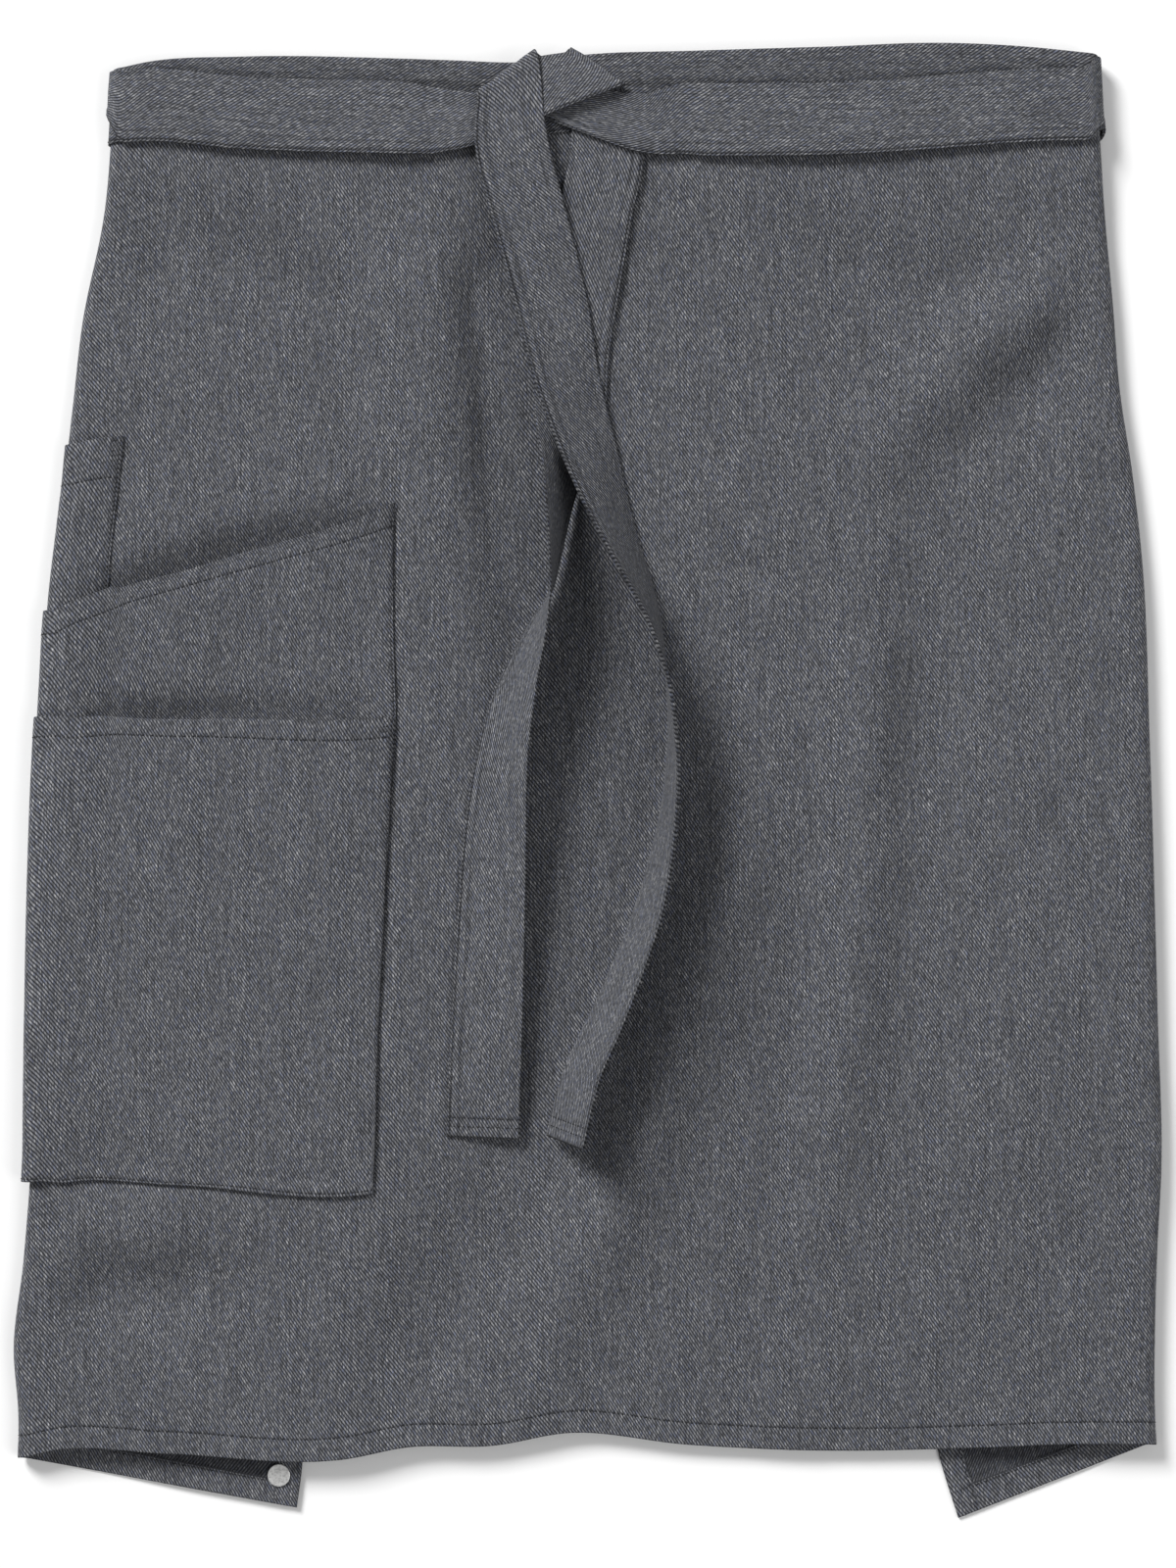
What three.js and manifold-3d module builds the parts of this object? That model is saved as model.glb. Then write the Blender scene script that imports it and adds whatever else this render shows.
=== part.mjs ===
// A waist apron of twill, laid flat with its front up: a skirt folded round at both sides, a waistband,
// three patch pockets, two ties crossed in a half knot, and one press stud in a back corner.
// Millimetres. X runs across the front, Y up to the waist, Z up out of the front.
import * as THREE from "three";
import Module from "manifold-3d";

const { lerp, smoothstep, degToRad } = THREE.MathUtils;

// Driving dimensions.
const gap = 0.3; // between pieces that are sewn or lie against each other

const skirt = {
  length: 781, // waist to hem, down the middle of the front
  waist: 556, // width of the folded front at the waist
  hem: 641, // width of the folded front at the hem
  cloth: 1, // wall of the twill
  foldRadius: 6, // side folds, to the middle of the wall
  leftFlap: 214, // reach of the left back flap from its fold, at the waist
  rightFlap: 148, // the same for the right back flap
  edgeSway: 10, // how far the waist and hem edges wander
  relief: 5, // height of the tallest soft fold in the front
  sag: 4.5, // how far the middle of the front sinks between its side folds
};

const band = { height: 41, wall: 1, hollow: 7 }; // hollow: inner face to inner face when flat

const tie = {
  width: 41.2,
  thickness: 1.6,
  layer: 2.3, // rise from one layer of the knot to the next
  knotX: -16.5, // where the ties cross, from the middle of the front
  knotDrop: 22, // the same, below the waist line
  leftTail: 583, // from the knot to the end
  rightTail: 584,
  seam: 22, // sewn overlap on the end of the waistband
};

const pocket = {
  wall: 1,
  wrap: 26, // reach round the side fold on to the back flap
  mouthStand: 7, // how far a mouth stands proud of its seams
  largeSlack: 200, // how far below its mouth the large pocket stands proud
  angledSlack: 90,
  penSlack: 110,
  clearance: 0.6, // between the layers of the pockets
  depth: 262, // large pocket, mouth to bottom
  width: 199, // large pocket, from the side fold to its right seam, at the mouth
  bottomDrop: 0.806, // place of the pockets' bottom seam, as a share of the skirt's length
  angledShort: 121, // angled pocket's right edge above the large pocket's mouth
  angledLong: 64, // the same at the side fold
  penWidth: 32,
  penDepth: 150,
  penDrop: 0.269, // place of the pen pocket's mouth, as a share of the skirt's length
};

const stud = {
  radius: 6.3,
  thickness: 1.6,
  post: 1.5,
  postClearance: 0.4,
  fromSide: 13, // from the flap's side edge
  fromHem: 17, // from the flap's hem edge
};

// The front's outline. left and right are shares of half the front's width at that place.
const sideRows = [
  { down: 0, left: 0.955, right: 1.025 },
  { down: 0.1, left: 0.949, right: 1.012 },
  { down: 0.18, left: 0.973, right: 1.011 },
  { down: 0.24, left: 0.978, right: 1.01 },
  { down: 0.3, left: 0.983, right: 1.021 },
  { down: 0.36, left: 0.99, right: 1.027 },
  { down: 0.49, left: 0.993, right: 1.02 },
  { down: 0.69, left: 0.986, right: 1.012 },
  { down: 0.8, left: 0.983, right: 1.011 },
  { down: 0.86, left: 0.993, right: 1.001 },
  { down: 0.92, left: 1.008, right: 0.995 },
  { down: 0.97, left: 0.999, right: 0.994 },
  { down: 1, left: 1, right: 0.997 },
];

// How the waist and hem edges wander, as shares of edgeSway, from the left fold to the right fold.
const edgeRows = [
  { across: 0, waist: -0.71, hem: -0.44 },
  { across: 0.03, waist: -0.33, hem: 0.05 },
  { across: 0.13, waist: 0, hem: -0.1 },
  { across: 0.29, waist: -0.11, hem: -0.39 },
  { across: 0.34, waist: -0.2, hem: 0.22 },
  { across: 0.42, waist: -0.3, hem: 0.33 },
  { across: 0.48, waist: 0.11, hem: 1 },
  { across: 0.59, waist: 0.33, hem: 0.33 },
  { across: 0.72, waist: 0.55, hem: 0 },
  { across: 0.85, waist: 0.77, hem: 0.2 },
  { across: 0.92, waist: 0.6, hem: 0.4 },
  { across: 1, waist: 0.17, hem: 0.44 },
];

// The back flaps. Reaches are shares of each flap's reach at the waist, turns are degrees.
const flapRows = [
  { down: 0, leftReach: 1, leftTurn: 8.3, rightReach: 1, rightTurn: 5 },
  { down: 0.5, leftReach: 0.88, leftTurn: 9, rightReach: 0.92, rightTurn: 7 },
  { down: 0.85, leftReach: 0.79, leftTurn: 10.2, rightReach: 0.88, rightTurn: 12.5 },
  { down: 0.945, leftReach: 0.766, leftTurn: 10.6, rightReach: 0.872, rightTurn: 17.8 },
  { down: 1, leftReach: 0.743, leftTurn: 10.3, rightReach: 0.804, rightTurn: 21.4 },
];

// Soft folds of the front. Places are shares across and down the front, width is a share of the hem's
// width and height is a share of the tallest fold.
const foldRows = [
  { fromX: 0.13, fromY: 0.12, toX: 0.34, toY: 0.28, width: 0.035, height: -0.6 },
  { fromX: 0.09, fromY: 0.1, toX: 0.1, toY: 0.26, width: 0.04, height: 0.5 },
  { fromX: 0.39, fromY: 0.12, toX: 0.43, toY: 0.44, width: 0.045, height: -0.9 },
  { fromX: 0.34, fromY: 0.1, toX: 0.37, toY: 0.4, width: 0.05, height: 0.5 },
  { fromX: 0.42, fromY: 0.8, toX: 0.31, toY: 0.96, width: 0.05, height: -0.7 },
  { fromX: 0.62, fromY: 0.48, toX: 0.45, toY: 0.97, width: 0.045, height: 0.8 },
  { fromX: 0.66, fromY: 0.42, toX: 0.52, toY: 0.8, width: 0.035, height: -0.6 },
  { fromX: 0.74, fromY: 0.38, toX: 0.68, toY: 0.86, width: 0.045, height: 1 },
  { fromX: 0.68, fromY: 0.6, toX: 0.62, toY: 0.95, width: 0.035, height: -0.6 },
  { fromX: 0.93, fromY: 0.13, toX: 0.76, toY: 0.3, width: 0.05, height: 0.7 },
  { fromX: 0.67, fromY: 0.1, toX: 0.7, toY: 0.22, width: 0.04, height: -0.5 },
];

// The belt's middle line on the cloth, as shares of the skirt's length below the waist edge.
const beltRows = [
  { place: 0, down: 0.0265 },
  { place: 2, down: 0.0275 },
  { place: 2.13, down: 0.039 },
  { place: 2.3, down: 0.041 },
  { place: 2.58, down: 0.048 },
  { place: 2.84, down: 0.048 },
  { place: 3, down: 0.0355 },
  { place: 4, down: 0.0355 },
  { place: 5, down: 0.0275 },
];

// The ties inside the knot, in tie widths from the place where they cross. narrow is how far the cloth
// is bunched, as a share of the tie's width.
const leftKnotRows = [
  { across: -1.73, below: 0.31, narrow: 1 },
  { across: -1.3, below: 0.3, narrow: 0.66 },
  { across: -0.93, below: 0.25, narrow: 0.55 },
  { across: -0.27, below: -0.13, narrow: 0.62 },
  { across: 0.49, below: -0.37, narrow: 0.66 },
];
const rightKnotRows = [
  { across: 1.75, below: 0.28, narrow: 1 },
  { across: 1.2, below: 0.35, narrow: 0.82 },
  { across: 0.59, below: 0.22, narrow: 0.68 },
  { across: -0.07, below: -0.04, narrow: 0.7 },
  { across: -0.69, below: -0.31, narrow: 0.85 },
];
const leftFoldAngle = -38;
const rightFoldAngle = 36;

// The tails. across and below are shares of the tail's length, and roll is how far it has turned over.
const leftTailRows = [
  { across: 0.0345, below: -0.026, roll: 0, narrow: 0.66 },
  { across: 0.047, below: 0.045, roll: 0 },
  { across: 0.036, below: 0.108, roll: 0 },
  { across: 0.022, below: 0.19, roll: 0 },
  { across: 0.013, below: 0.25, roll: 0 },
  { across: 0.011, below: 0.3, roll: 16 },
  { across: 0.006, below: 0.34, roll: 48 },
  { across: 0.001, below: 0.385, roll: 68 },
  { across: -0.003, below: 0.43, roll: 80 },
  { across: -0.008, below: 0.475, roll: 91 },
  { across: -0.02, below: 0.51, roll: 106 },
  { across: -0.039, below: 0.565, roll: 122 },
  { across: -0.053, below: 0.63, roll: 135 },
  { across: -0.06, below: 0.7, roll: 148 },
  { across: -0.065, below: 0.8, roll: 160 },
  { across: -0.07, below: 0.91, roll: 171 },
  { across: -0.073, below: 1, roll: 178 },
];
const rightTailRows = [
  { across: -0.0488, below: -0.0219, roll: 0, narrow: 0.85 },
  { across: -0.045, below: 0.045, roll: 0 },
  { across: -0.026, below: 0.12, roll: 6 },
  { across: -0.006, below: 0.2, roll: 13 },
  { across: 0.008, below: 0.268, roll: 28 },
  { across: 0.03, below: 0.34, roll: 42 },
  { across: 0.058, below: 0.42, roll: 61 },
  { across: 0.088, below: 0.49, roll: 76 },
  { across: 0.104, below: 0.56, roll: 90 },
  { across: 0.109, below: 0.62, roll: 97 },
  { across: 0.105, below: 0.686, roll: 103 },
  { across: 0.085, below: 0.782, roll: 112 },
  { across: 0.047, below: 0.881, roll: 118 },
  { across: 0.023, below: 0.934, roll: 120 },
  { across: 0.006, below: 1, roll: 122 },
];

// How finely the walls are divided.
const steps = {
  flap: 6, turn: 6, front: 26, rows: 22, tailRow: 3, knotRow: 3, fold: 6, beltFlap: 5, beltFront: 8,
};

// Reads a column of a table at a place between its rows.
function readRow(rows, key, at, column) {
  let next = 1;
  while (next < rows.length - 1 && rows[next][key] < at) next += 1;
  const before = rows[next - 1];
  const after = rows[next];
  const share = THREE.MathUtils.clamp((at - before[key]) / (after[key] - before[key]), 0, 1);
  return lerp(before[column], after[column], share);
}

// The skirt's outline.
const rightCornerTurn = degToRad(flapRows.at(-1).rightTurn);
const rightCornerHang = skirt.rightFlap * flapRows.at(-1).rightReach * Math.sin(rightCornerTurn)
  - skirt.edgeSway * edgeRows.at(-1).hem;
const highestWaist = skirt.edgeSway * Math.max(...edgeRows.map((row) => row.waist));
const waistLine = (skirt.length + rightCornerHang - highestWaist) / 2;
const bandShare = band.height / skirt.length;

function halfWidth(down) {
  return lerp(skirt.waist, skirt.hem, 1 - (1 - down) ** 2) / 2;
}

function leftSide(down) {
  return -halfWidth(down) * readRow(sideRows, "down", down, "left");
}

function rightSide(down) {
  return halfWidth(down) * readRow(sideRows, "down", down, "right");
}

function rowY(across, down) {
  const waistY = waistLine + skirt.edgeSway * readRow(edgeRows, "across", across, "waist");
  const hemY = waistLine - skirt.length + skirt.edgeSway * readRow(edgeRows, "across", across, "hem");
  return lerp(waistY, hemY, down);
}

// The pockets' mouths and bottom, as shares of the skirt's length.
const pocketBottom = pocket.bottomDrop;
const largeMouth = pocketBottom - pocket.depth / skirt.length;
const angledMouthLeft = largeMouth - pocket.angledLong / skirt.length;

// Heights. Where the waistband is, the skirt's middle is lifted clear of the tie that lies under it.
const bandOffset = skirt.cloth / 2 + gap; // from the skirt's middle to the band's near face
const beltOffset = bandOffset + band.wall + gap + tie.thickness / 2;
const waistRadius = band.hollow / 2 + bandOffset + band.wall;

function bandLift(down) {
  return 1 - smoothstep(down, bandShare * 1.35, bandShare * 2.6);
}

// The pockets' layers that wrap round the left fold lift the flap that lies on them.
const pocketLayer = pocket.wall + pocket.clearance;

function pocketLift(down, fromFold) {
  const ramp = 0.012;
  const stack = [pocket.penDrop, angledMouthLeft, largeMouth].reduce(
    (sum, mouth) => sum + smoothstep(down, mouth - 3 * ramp, mouth - ramp), 0);
  const ended = 1 - smoothstep(down, pocket.bottomDrop + ramp, pocket.bottomDrop + 5 * ramp);
  const near = 1 - smoothstep(fromFold, pocket.wrap * 1.3, pocket.wrap * 3.2);
  return pocketLayer * stack * ended * near;
}

function flapHeight(down, along, extraLift) {
  const doubled = (tie.thickness + gap) * smoothstep(along, 0.72, 0.84);
  const lifted = beltOffset + tie.thickness / 2 + doubled;
  return lerp(skirt.cloth / 2, lifted, bandLift(down)) + extraLift;
}

// The roll of a side fold. The pockets' layers under the left one make it flatter.
function turnAt(down, side) {
  const lift = side < 0 ? pocketLift(down, 0) : 0;
  const radius = lerp(skirt.foldRadius, waistRadius, bandLift(down)) - lift / 2;
  return { radius, centre: flapHeight(down, 0, lift) + radius };
}

// Height that one soft fold adds at a place on the front.
function foldHeight(fold, x, y) {
  const fromX = lerp(leftSide(fold.fromY), rightSide(fold.fromY), fold.fromX);
  const toX = lerp(leftSide(fold.toY), rightSide(fold.toY), fold.toX);
  const fromY = waistLine - skirt.length * fold.fromY;
  const toY = waistLine - skirt.length * fold.toY;
  const length = Math.hypot(toX - fromX, toY - fromY);
  const alongX = (toX - fromX) / length;
  const alongY = (toY - fromY) / length;
  const along = ((x - fromX) * alongX + (y - fromY) * alongY) / length;
  const off = (x - fromX) * alongY - (y - fromY) * alongX;
  const ends = smoothstep(along, -0.15, 0.25) * (1 - smoothstep(along, 0.75, 1.15));
  const spread = fold.width * skirt.hem;
  return skirt.relief * fold.height * ends * Math.exp(-(off * off) / (2 * spread * spread));
}

function frontHeight(x, y) {
  const down = THREE.MathUtils.clamp((waistLine - y) / skirt.length, 0, 1);
  const left = leftSide(down);
  const across = THREE.MathUtils.clamp((x - left) / (rightSide(down) - left), 0, 1);
  const { radius, centre } = turnAt(down, 1);
  const middle = smoothstep(across, 0.3, 0.5) * (1 - smoothstep(across, 0.75, 1));
  const below = smoothstep(down, bandShare * 1.4, bandShare * 3.5);
  const sag = skirt.sag * middle * below * lerp(0.6, 1, down);
  const inside = smoothstep(across, 0.015, 0.07) * (1 - smoothstep(across, 0.93, 0.985));
  const folds = foldRows.reduce((sum, fold) => sum + foldHeight(fold, x, y), 0);
  return centre + radius - sag + folds * inside * below;
}

// A place on the middle of the skirt's wall. place runs round it: 0 to 1 over the left flap, to 2 round
// the left fold, to 3 over the front, to 4 round the right fold and to 5 over the right flap.
function studPlace() {
  const down = 1 - stud.fromHem / skirt.length;
  const reach = skirt.leftFlap * readRow(flapRows, "down", down, "leftReach");
  return { down, along: (reach - stud.fromSide) / reach, reach };
}

function flapPoint(down, side, outward) {
  const { radius } = turnAt(down, side);
  const isLeft = side < 0;
  const full = isLeft ? skirt.leftFlap : skirt.rightFlap;
  const reach = full * readRow(flapRows, "down", down, isLeft ? "leftReach" : "rightReach");
  const turn = degToRad(readRow(flapRows, "down", down, isLeft ? "leftTurn" : "rightTurn"));
  const from = lerp(radius, reach, outward);
  const foldX = isLeft ? leftSide(down) : rightSide(down);
  const x = foldX - side * from * Math.cos(turn);
  const y = rowY(isLeft ? 0 : 1, down) - from * Math.sin(turn);
  let lift = 0;
  if (isLeft) {
    const at = studPlace();
    const offX = (outward - at.along) * at.reach;
    const offY = (down - at.down) * skirt.length;
    lift = (stud.thickness + gap) * (1 - smoothstep(Math.hypot(offX, offY), 45, 110));
    lift += pocketLift(down, from - radius);
  }
  return new THREE.Vector3(x, y, flapHeight(down, outward, lift));
}

function clothPoint(place, down) {
  if (place <= 1) return flapPoint(down, -1, 1 - place);
  if (place >= 4) return flapPoint(down, 1, place - 4);
  const left = leftSide(down);
  const right = rightSide(down);
  if (place < 2 || place > 3) {
    const side = place < 2 ? -1 : 1;
    const { radius, centre } = turnAt(down, side);
    const inner = radius / (right - left);
    const up = side < 0 ? place - 1 : 4 - place;
    const foldX = side < 0 ? left : right;
    const x = foldX - side * radius * (1 - Math.sin(Math.PI * up));
    const low = flapPoint(down, side, 0).y;
    const high = rowY(side < 0 ? inner : 1 - inner, down);
    return new THREE.Vector3(x, lerp(low, high, up), centre - radius * Math.cos(Math.PI * up));
  }
  const x = lerp(left + turnAt(down, -1).radius, right - turnAt(down, 1).radius, place - 2);
  const y = rowY((x - left) / (right - left), down);
  return new THREE.Vector3(x, y, frontHeight(x, y));
}

// The same, offset outwards from the middle of the wall.
function clothSkin(place, down, offset) {
  const small = 0.004;
  const placeA = Math.max(place - small, 0);
  const placeB = Math.min(place + small, 5);
  const downA = Math.max(down - small, 0);
  const downB = Math.min(down + small, 1);
  const acrossStep = clothPoint(placeB, down).sub(clothPoint(placeA, down));
  const downStep = clothPoint(place, downB).sub(clothPoint(place, downA));
  const normal = downStep.cross(acrossStep).normalize();
  return clothPoint(place, down).addScaledVector(normal, offset);
}

// A closed wall between an outer and an inner grid of points, each a list of equal rows.
function wallGeometry(outer, inner) {
  const columns = outer.length;
  const rows = outer[0].length;
  const positions = [...outer.flat(), ...inner.flat()].flatMap((point) => point.toArray());
  const at = (i, j) => i * rows + j;
  const under = columns * rows;
  const faces = [];
  for (let i = 0; i + 1 < columns; i += 1) {
    for (let j = 0; j + 1 < rows; j += 1) {
      const a = at(i, j);
      const b = at(i, j + 1);
      const c = at(i + 1, j + 1);
      const d = at(i + 1, j);
      faces.push(a, b, c, a, c, d, under + a, under + c, under + b, under + a, under + d, under + c);
    }
  }
  const border = [];
  for (let j = 0; j < rows - 1; j += 1) border.push(at(0, j));
  for (let i = 0; i < columns - 1; i += 1) border.push(at(i, rows - 1));
  for (let j = rows - 1; j > 0; j -= 1) border.push(at(columns - 1, j));
  for (let i = columns - 1; i > 0; i -= 1) border.push(at(i, 0));
  border.forEach((a, k) => {
    const b = border[(k + 1) % border.length];
    faces.push(b, a, under + a, b, under + a, under + b);
  });
  const geometry = new THREE.BufferGeometry();
  geometry.setAttribute("position", new THREE.Float32BufferAttribute(positions, 3));
  geometry.setIndex(faces);
  return geometry;
}

// Evenly spaced places from one to another, both included.
function spread(from, to, count) {
  return Array.from({ length: count + 1 }, (_, k) => lerp(from, to, k / count));
}

// Places round the skirt, and rows down it: the waistband covers the first step.
const skirtPlaces = [
  ...spread(0, 1, steps.flap),
  ...spread(1, 2, steps.turn).slice(1),
  ...spread(2, 3, steps.front).slice(1),
  ...spread(3, 4, steps.turn).slice(1),
  ...spread(4, 5, steps.flap).slice(1),
];
const skirtRows = [0, bandShare, ...spread(bandShare * 1.35, 0.945, steps.rows - 4), 0.972, 1];

const wasm = await Module();
wasm.setup();

function toSolid(geometry) {
  const vertProperties = geometry.getAttribute("position").array;
  return new wasm.Manifold(new wasm.Mesh({
    numProp: 3,
    vertProperties,
    triVerts: new Uint32Array(geometry.index.array),
  }));
}

function toGeometry(solid) {
  const mesh = solid.getMesh();
  const geometry = new THREE.BufferGeometry();
  geometry.setAttribute("position", new THREE.BufferAttribute(mesh.vertProperties, 3));
  geometry.setIndex(new THREE.BufferAttribute(mesh.triVerts, 1));
  return geometry;
}

// The skirt, with a small hole for the stud's post.
function skirtGeometry() {
  const half = skirt.cloth / 2;
  const outer = skirtPlaces.map((place) => skirtRows.map((down) => clothSkin(place, down, half)));
  const inner = skirtPlaces.map((place) => skirtRows.map((down) => clothSkin(place, down, -half)));
  const { down, along } = studPlace();
  const middle = clothPoint(1 - along, down);
  const drill = new THREE.CylinderGeometry(
    stud.post + stud.postClearance, stud.post + stud.postClearance, skirt.cloth * 8, 10);
  drill.rotateX(Math.PI / 2);
  drill.translate(middle.x, middle.y, middle.z);
  return toGeometry(toSolid(wallGeometry(outer, inner)).subtract(toSolid(closedLathe(drill))));
}

// A geometry with only its positions, and its shared vertices merged.
function closedLathe(geometry) {
  const source = geometry.index ? geometry.toNonIndexed() : geometry;
  const array = source.getAttribute("position").array;
  const seen = new Map();
  const positions = [];
  const index = [];
  for (let k = 0; k < array.length; k += 3) {
    const point = [array[k], array[k + 1], array[k + 2]];
    const key = point.map((value) => Math.round(value * 1e4)).join();
    if (!seen.has(key)) {
      seen.set(key, positions.length / 3);
      positions.push(...point);
    }
    index.push(seen.get(key));
  }
  const kept = [];
  for (let k = 0; k < index.length; k += 3) {
    const [a, b, c] = index.slice(k, k + 3);
    if (a !== b && b !== c && c !== a) kept.push(a, b, c);
  }
  const merged = new THREE.BufferGeometry();
  merged.setAttribute("position", new THREE.Float32BufferAttribute(positions, 3));
  merged.setIndex(kept);
  return merged;
}

// The waistband: a folded strip, open downwards, swept round the skirt's top edge.
function bandGeometry() {
  const near = bandOffset;
  const far = bandOffset + band.wall;
  const rings = skirtPlaces.map((place) => {
    const corner = (down, rise, offset) => {
      const top = clothSkin(place, 0, offset);
      const low = clothSkin(place, bandShare, offset);
      const upwards = top.clone().sub(low).normalize();
      return (down ? low : top).clone().addScaledVector(upwards, rise);
    };
    return [
      corner(true, 0, far),
      corner(false, gap + band.wall, far),
      corner(false, gap + band.wall, -far),
      corner(true, 0, -far),
      corner(true, 0, -near),
      corner(false, gap, -near),
      corner(false, gap, near),
      corner(true, 0, near),
    ];
  });
  const sides = rings[0].length;
  const faces = [];
  for (let i = 0; i + 1 < rings.length; i += 1) {
    for (let k = 0; k < sides; k += 1) {
      const a = i * sides + k;
      const b = i * sides + ((k + 1) % sides);
      faces.push(a, a + sides, b, b, a + sides, b + sides);
    }
  }
  const endQuads = [[0, 1, 6, 7], [1, 2, 5, 6], [2, 3, 4, 5]];
  const last = (rings.length - 1) * sides;
  for (const [a, b, c, d] of endQuads) {
    faces.push(a, b, c, a, c, d);
    faces.push(last + a, last + c, last + b, last + a, last + d, last + c);
  }
  const geometry = new THREE.BufferGeometry();
  const positions = rings.flat().flatMap((point) => point.toArray());
  geometry.setAttribute("position", new THREE.Float32BufferAttribute(positions, 3));
  geometry.setIndex(faces);
  return geometry;
}

// Pockets. Each is a patch on the skirt's skin, sewn at its sides and bottom and standing proud at its
// mouth. Its left edge wraps round the side fold on to the back flap.
// Place on the front at a distance from the left fold.
function frontPlace(distance, down) {
  const { radius } = turnAt(down, -1);
  const width = rightSide(down) - leftSide(down) - radius - turnAt(down, 1).radius;
  return 2 + (distance - radius) / width;
}

function wrapPlace(down) {
  const reach = skirt.leftFlap * readRow(flapRows, "down", down, "leftReach");
  return 1 - pocket.wrap / reach;
}

function pocketGeometry({ layer, mouth, bottom, rightReach, slack, columns, rows }) {
  const base = skirt.cloth / 2 + pocket.wall / 2 + pocket.clearance
    + layer * (pocket.wall + pocket.clearance);
  const outer = [];
  const inner = [];
  const leftPlaces = [0, 0.5, 1];
  const turnPlaces = spread(1, 2, steps.turn).slice(1);
  const acrossPlaces = spread(0, 1, columns).slice(1);
  const marks = [
    ...leftPlaces.map((share) => ({ zone: "flap", share })),
    ...turnPlaces.map((place) => ({ zone: "turn", place })),
    ...acrossPlaces.map((share) => ({ zone: "front", share })),
  ];
  for (const mark of marks) {
    const outerRow = [];
    const innerRow = [];
    for (let k = 0; k <= rows; k += 1) {
      const depthShare = k / rows;
      const onFront = mark.zone === "front" ? mark.share : 0;
      const down = lerp(mouth(onFront), bottom(onFront), depthShare);
      const rightPlace = frontPlace(rightReach(down), down);
      let place = mark.place;
      if (mark.zone === "flap") place = lerp(wrapPlace(down), 1, mark.share);
      if (mark.zone === "front") place = lerp(2, rightPlace, mark.share);
      const belly = Math.sin(Math.PI * onFront) ** 0.4;
      const fromMouth = (down - mouth(onFront)) * skirt.length;
      const open = 1 - smoothstep(fromMouth, 0, slack);
      const stand = pocket.mouthStand * belly * open;
      outerRow.push(clothSkin(place, down, base + stand + pocket.wall / 2));
      innerRow.push(clothSkin(place, down, base + stand - pocket.wall / 2));
    }
    outer.push(outerRow);
    inner.push(innerRow);
  }
  return wallGeometry(outer, inner);
}

// The pockets' shared right seam leans in towards the bottom.
function pocketRight(down) {
  const lean = smoothstep(down, largeMouth, pocketBottom) * 0.05;
  return pocket.width * (1 - lean);
}

const largePocket = {
  layer: 2,
  mouth: () => largeMouth,
  bottom: (share) => pocketBottom + 0.006 * share,
  rightReach: pocketRight,
  slack: pocket.largeSlack,
  columns: 8,
  rows: 10,
};
const angledPocket = {
  layer: 1,
  mouth: (share) => largeMouth - lerp(pocket.angledLong, pocket.angledShort, share) / skirt.length,
  bottom: (share) => pocketBottom - 0.004 + 0.006 * share,
  rightReach: pocketRight,
  slack: pocket.angledSlack,
  columns: 8,
  rows: 14,
};
const penPocket = {
  layer: 0,
  mouth: () => pocket.penDrop,
  bottom: () => pocket.penDrop + pocket.penDepth / skirt.length,
  rightReach: () => pocket.penWidth,
  slack: pocket.penSlack,
  columns: 4,
  rows: 8,
};

// Ties. A station is a pair of edge points of the middle of the tie.
function topOfCloth(x, y) {
  const down = (waistLine - y) / skirt.length;
  const banded = down < bandShare * 1.35 ? gap + band.wall : 0;
  return frontHeight(x, y) + skirt.cloth / 2 + banded;
}

// The highest cloth close to a place, which a tie that lies there rests on.
function restingHeight(x, y) {
  const reach = 18;
  let highest = -Infinity;
  for (const dx of [-reach, 0, reach]) {
    for (const dy of [-reach, 0, reach]) highest = Math.max(highest, topOfCloth(x + dx, y + dy));
  }
  return highest;
}

const knotY = waistLine - tie.knotDrop;
const inTieWidths = (x) => (x - tie.knotX) / tie.width;

// Layers that each stretch of a tie lies above the cloth, by its place across the knot.
const throughKnot = (x) => smoothstep(inTieWidths(x), -0.7, -0.05);
const layers = {
  leftBelt: (x) => smoothstep(inTieWidths(x), -1.9, -1.4) + throughKnot(x),
  rightBelt: (x) => throughKnot(x) * (1 - smoothstep(inTieWidths(x), 1.25, 1.75)),
  leftTail: () => 0,
  rightTail: (x, y) => {
    const below = (knotY - y) / tie.width;
    const overKnot = (1 + throughKnot(x)) * (1 - smoothstep(below, 0.85, 1.6));
    const overTail = 1 - smoothstep(below, 4.4, 5.1);
    return overKnot + 1.25 * overTail;
  },
};

// A station of a tie that lies on the front, from its middle, the angle of its cross line and its roll.
function lyingStation(x, y, angle, roll, stretch, layer) {
  const rolled = degToRad(roll);
  const half = (tie.width / 2) * stretch;
  const plan = new THREE.Vector3(Math.cos(angle), Math.sin(angle), 0);
  const cross = plan.clone().multiplyScalar(Math.cos(rolled) * half);
  const lift = Math.sin(rolled) * half;
  return [-1, 1].map((side) => {
    const edge = new THREE.Vector3(x, y, 0).addScaledVector(cross, side);
    const rest = roll ? restingHeight(x, y) : restingHeight(edge.x, edge.y);
    const clear = gap + (tie.thickness / 2) * Math.max(Math.abs(Math.cos(rolled)), 0.4);
    edge.z = rest + clear + layer(edge.x, edge.y) * tie.layer + lift - side * lift;
    return edge;
  });
}

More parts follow.
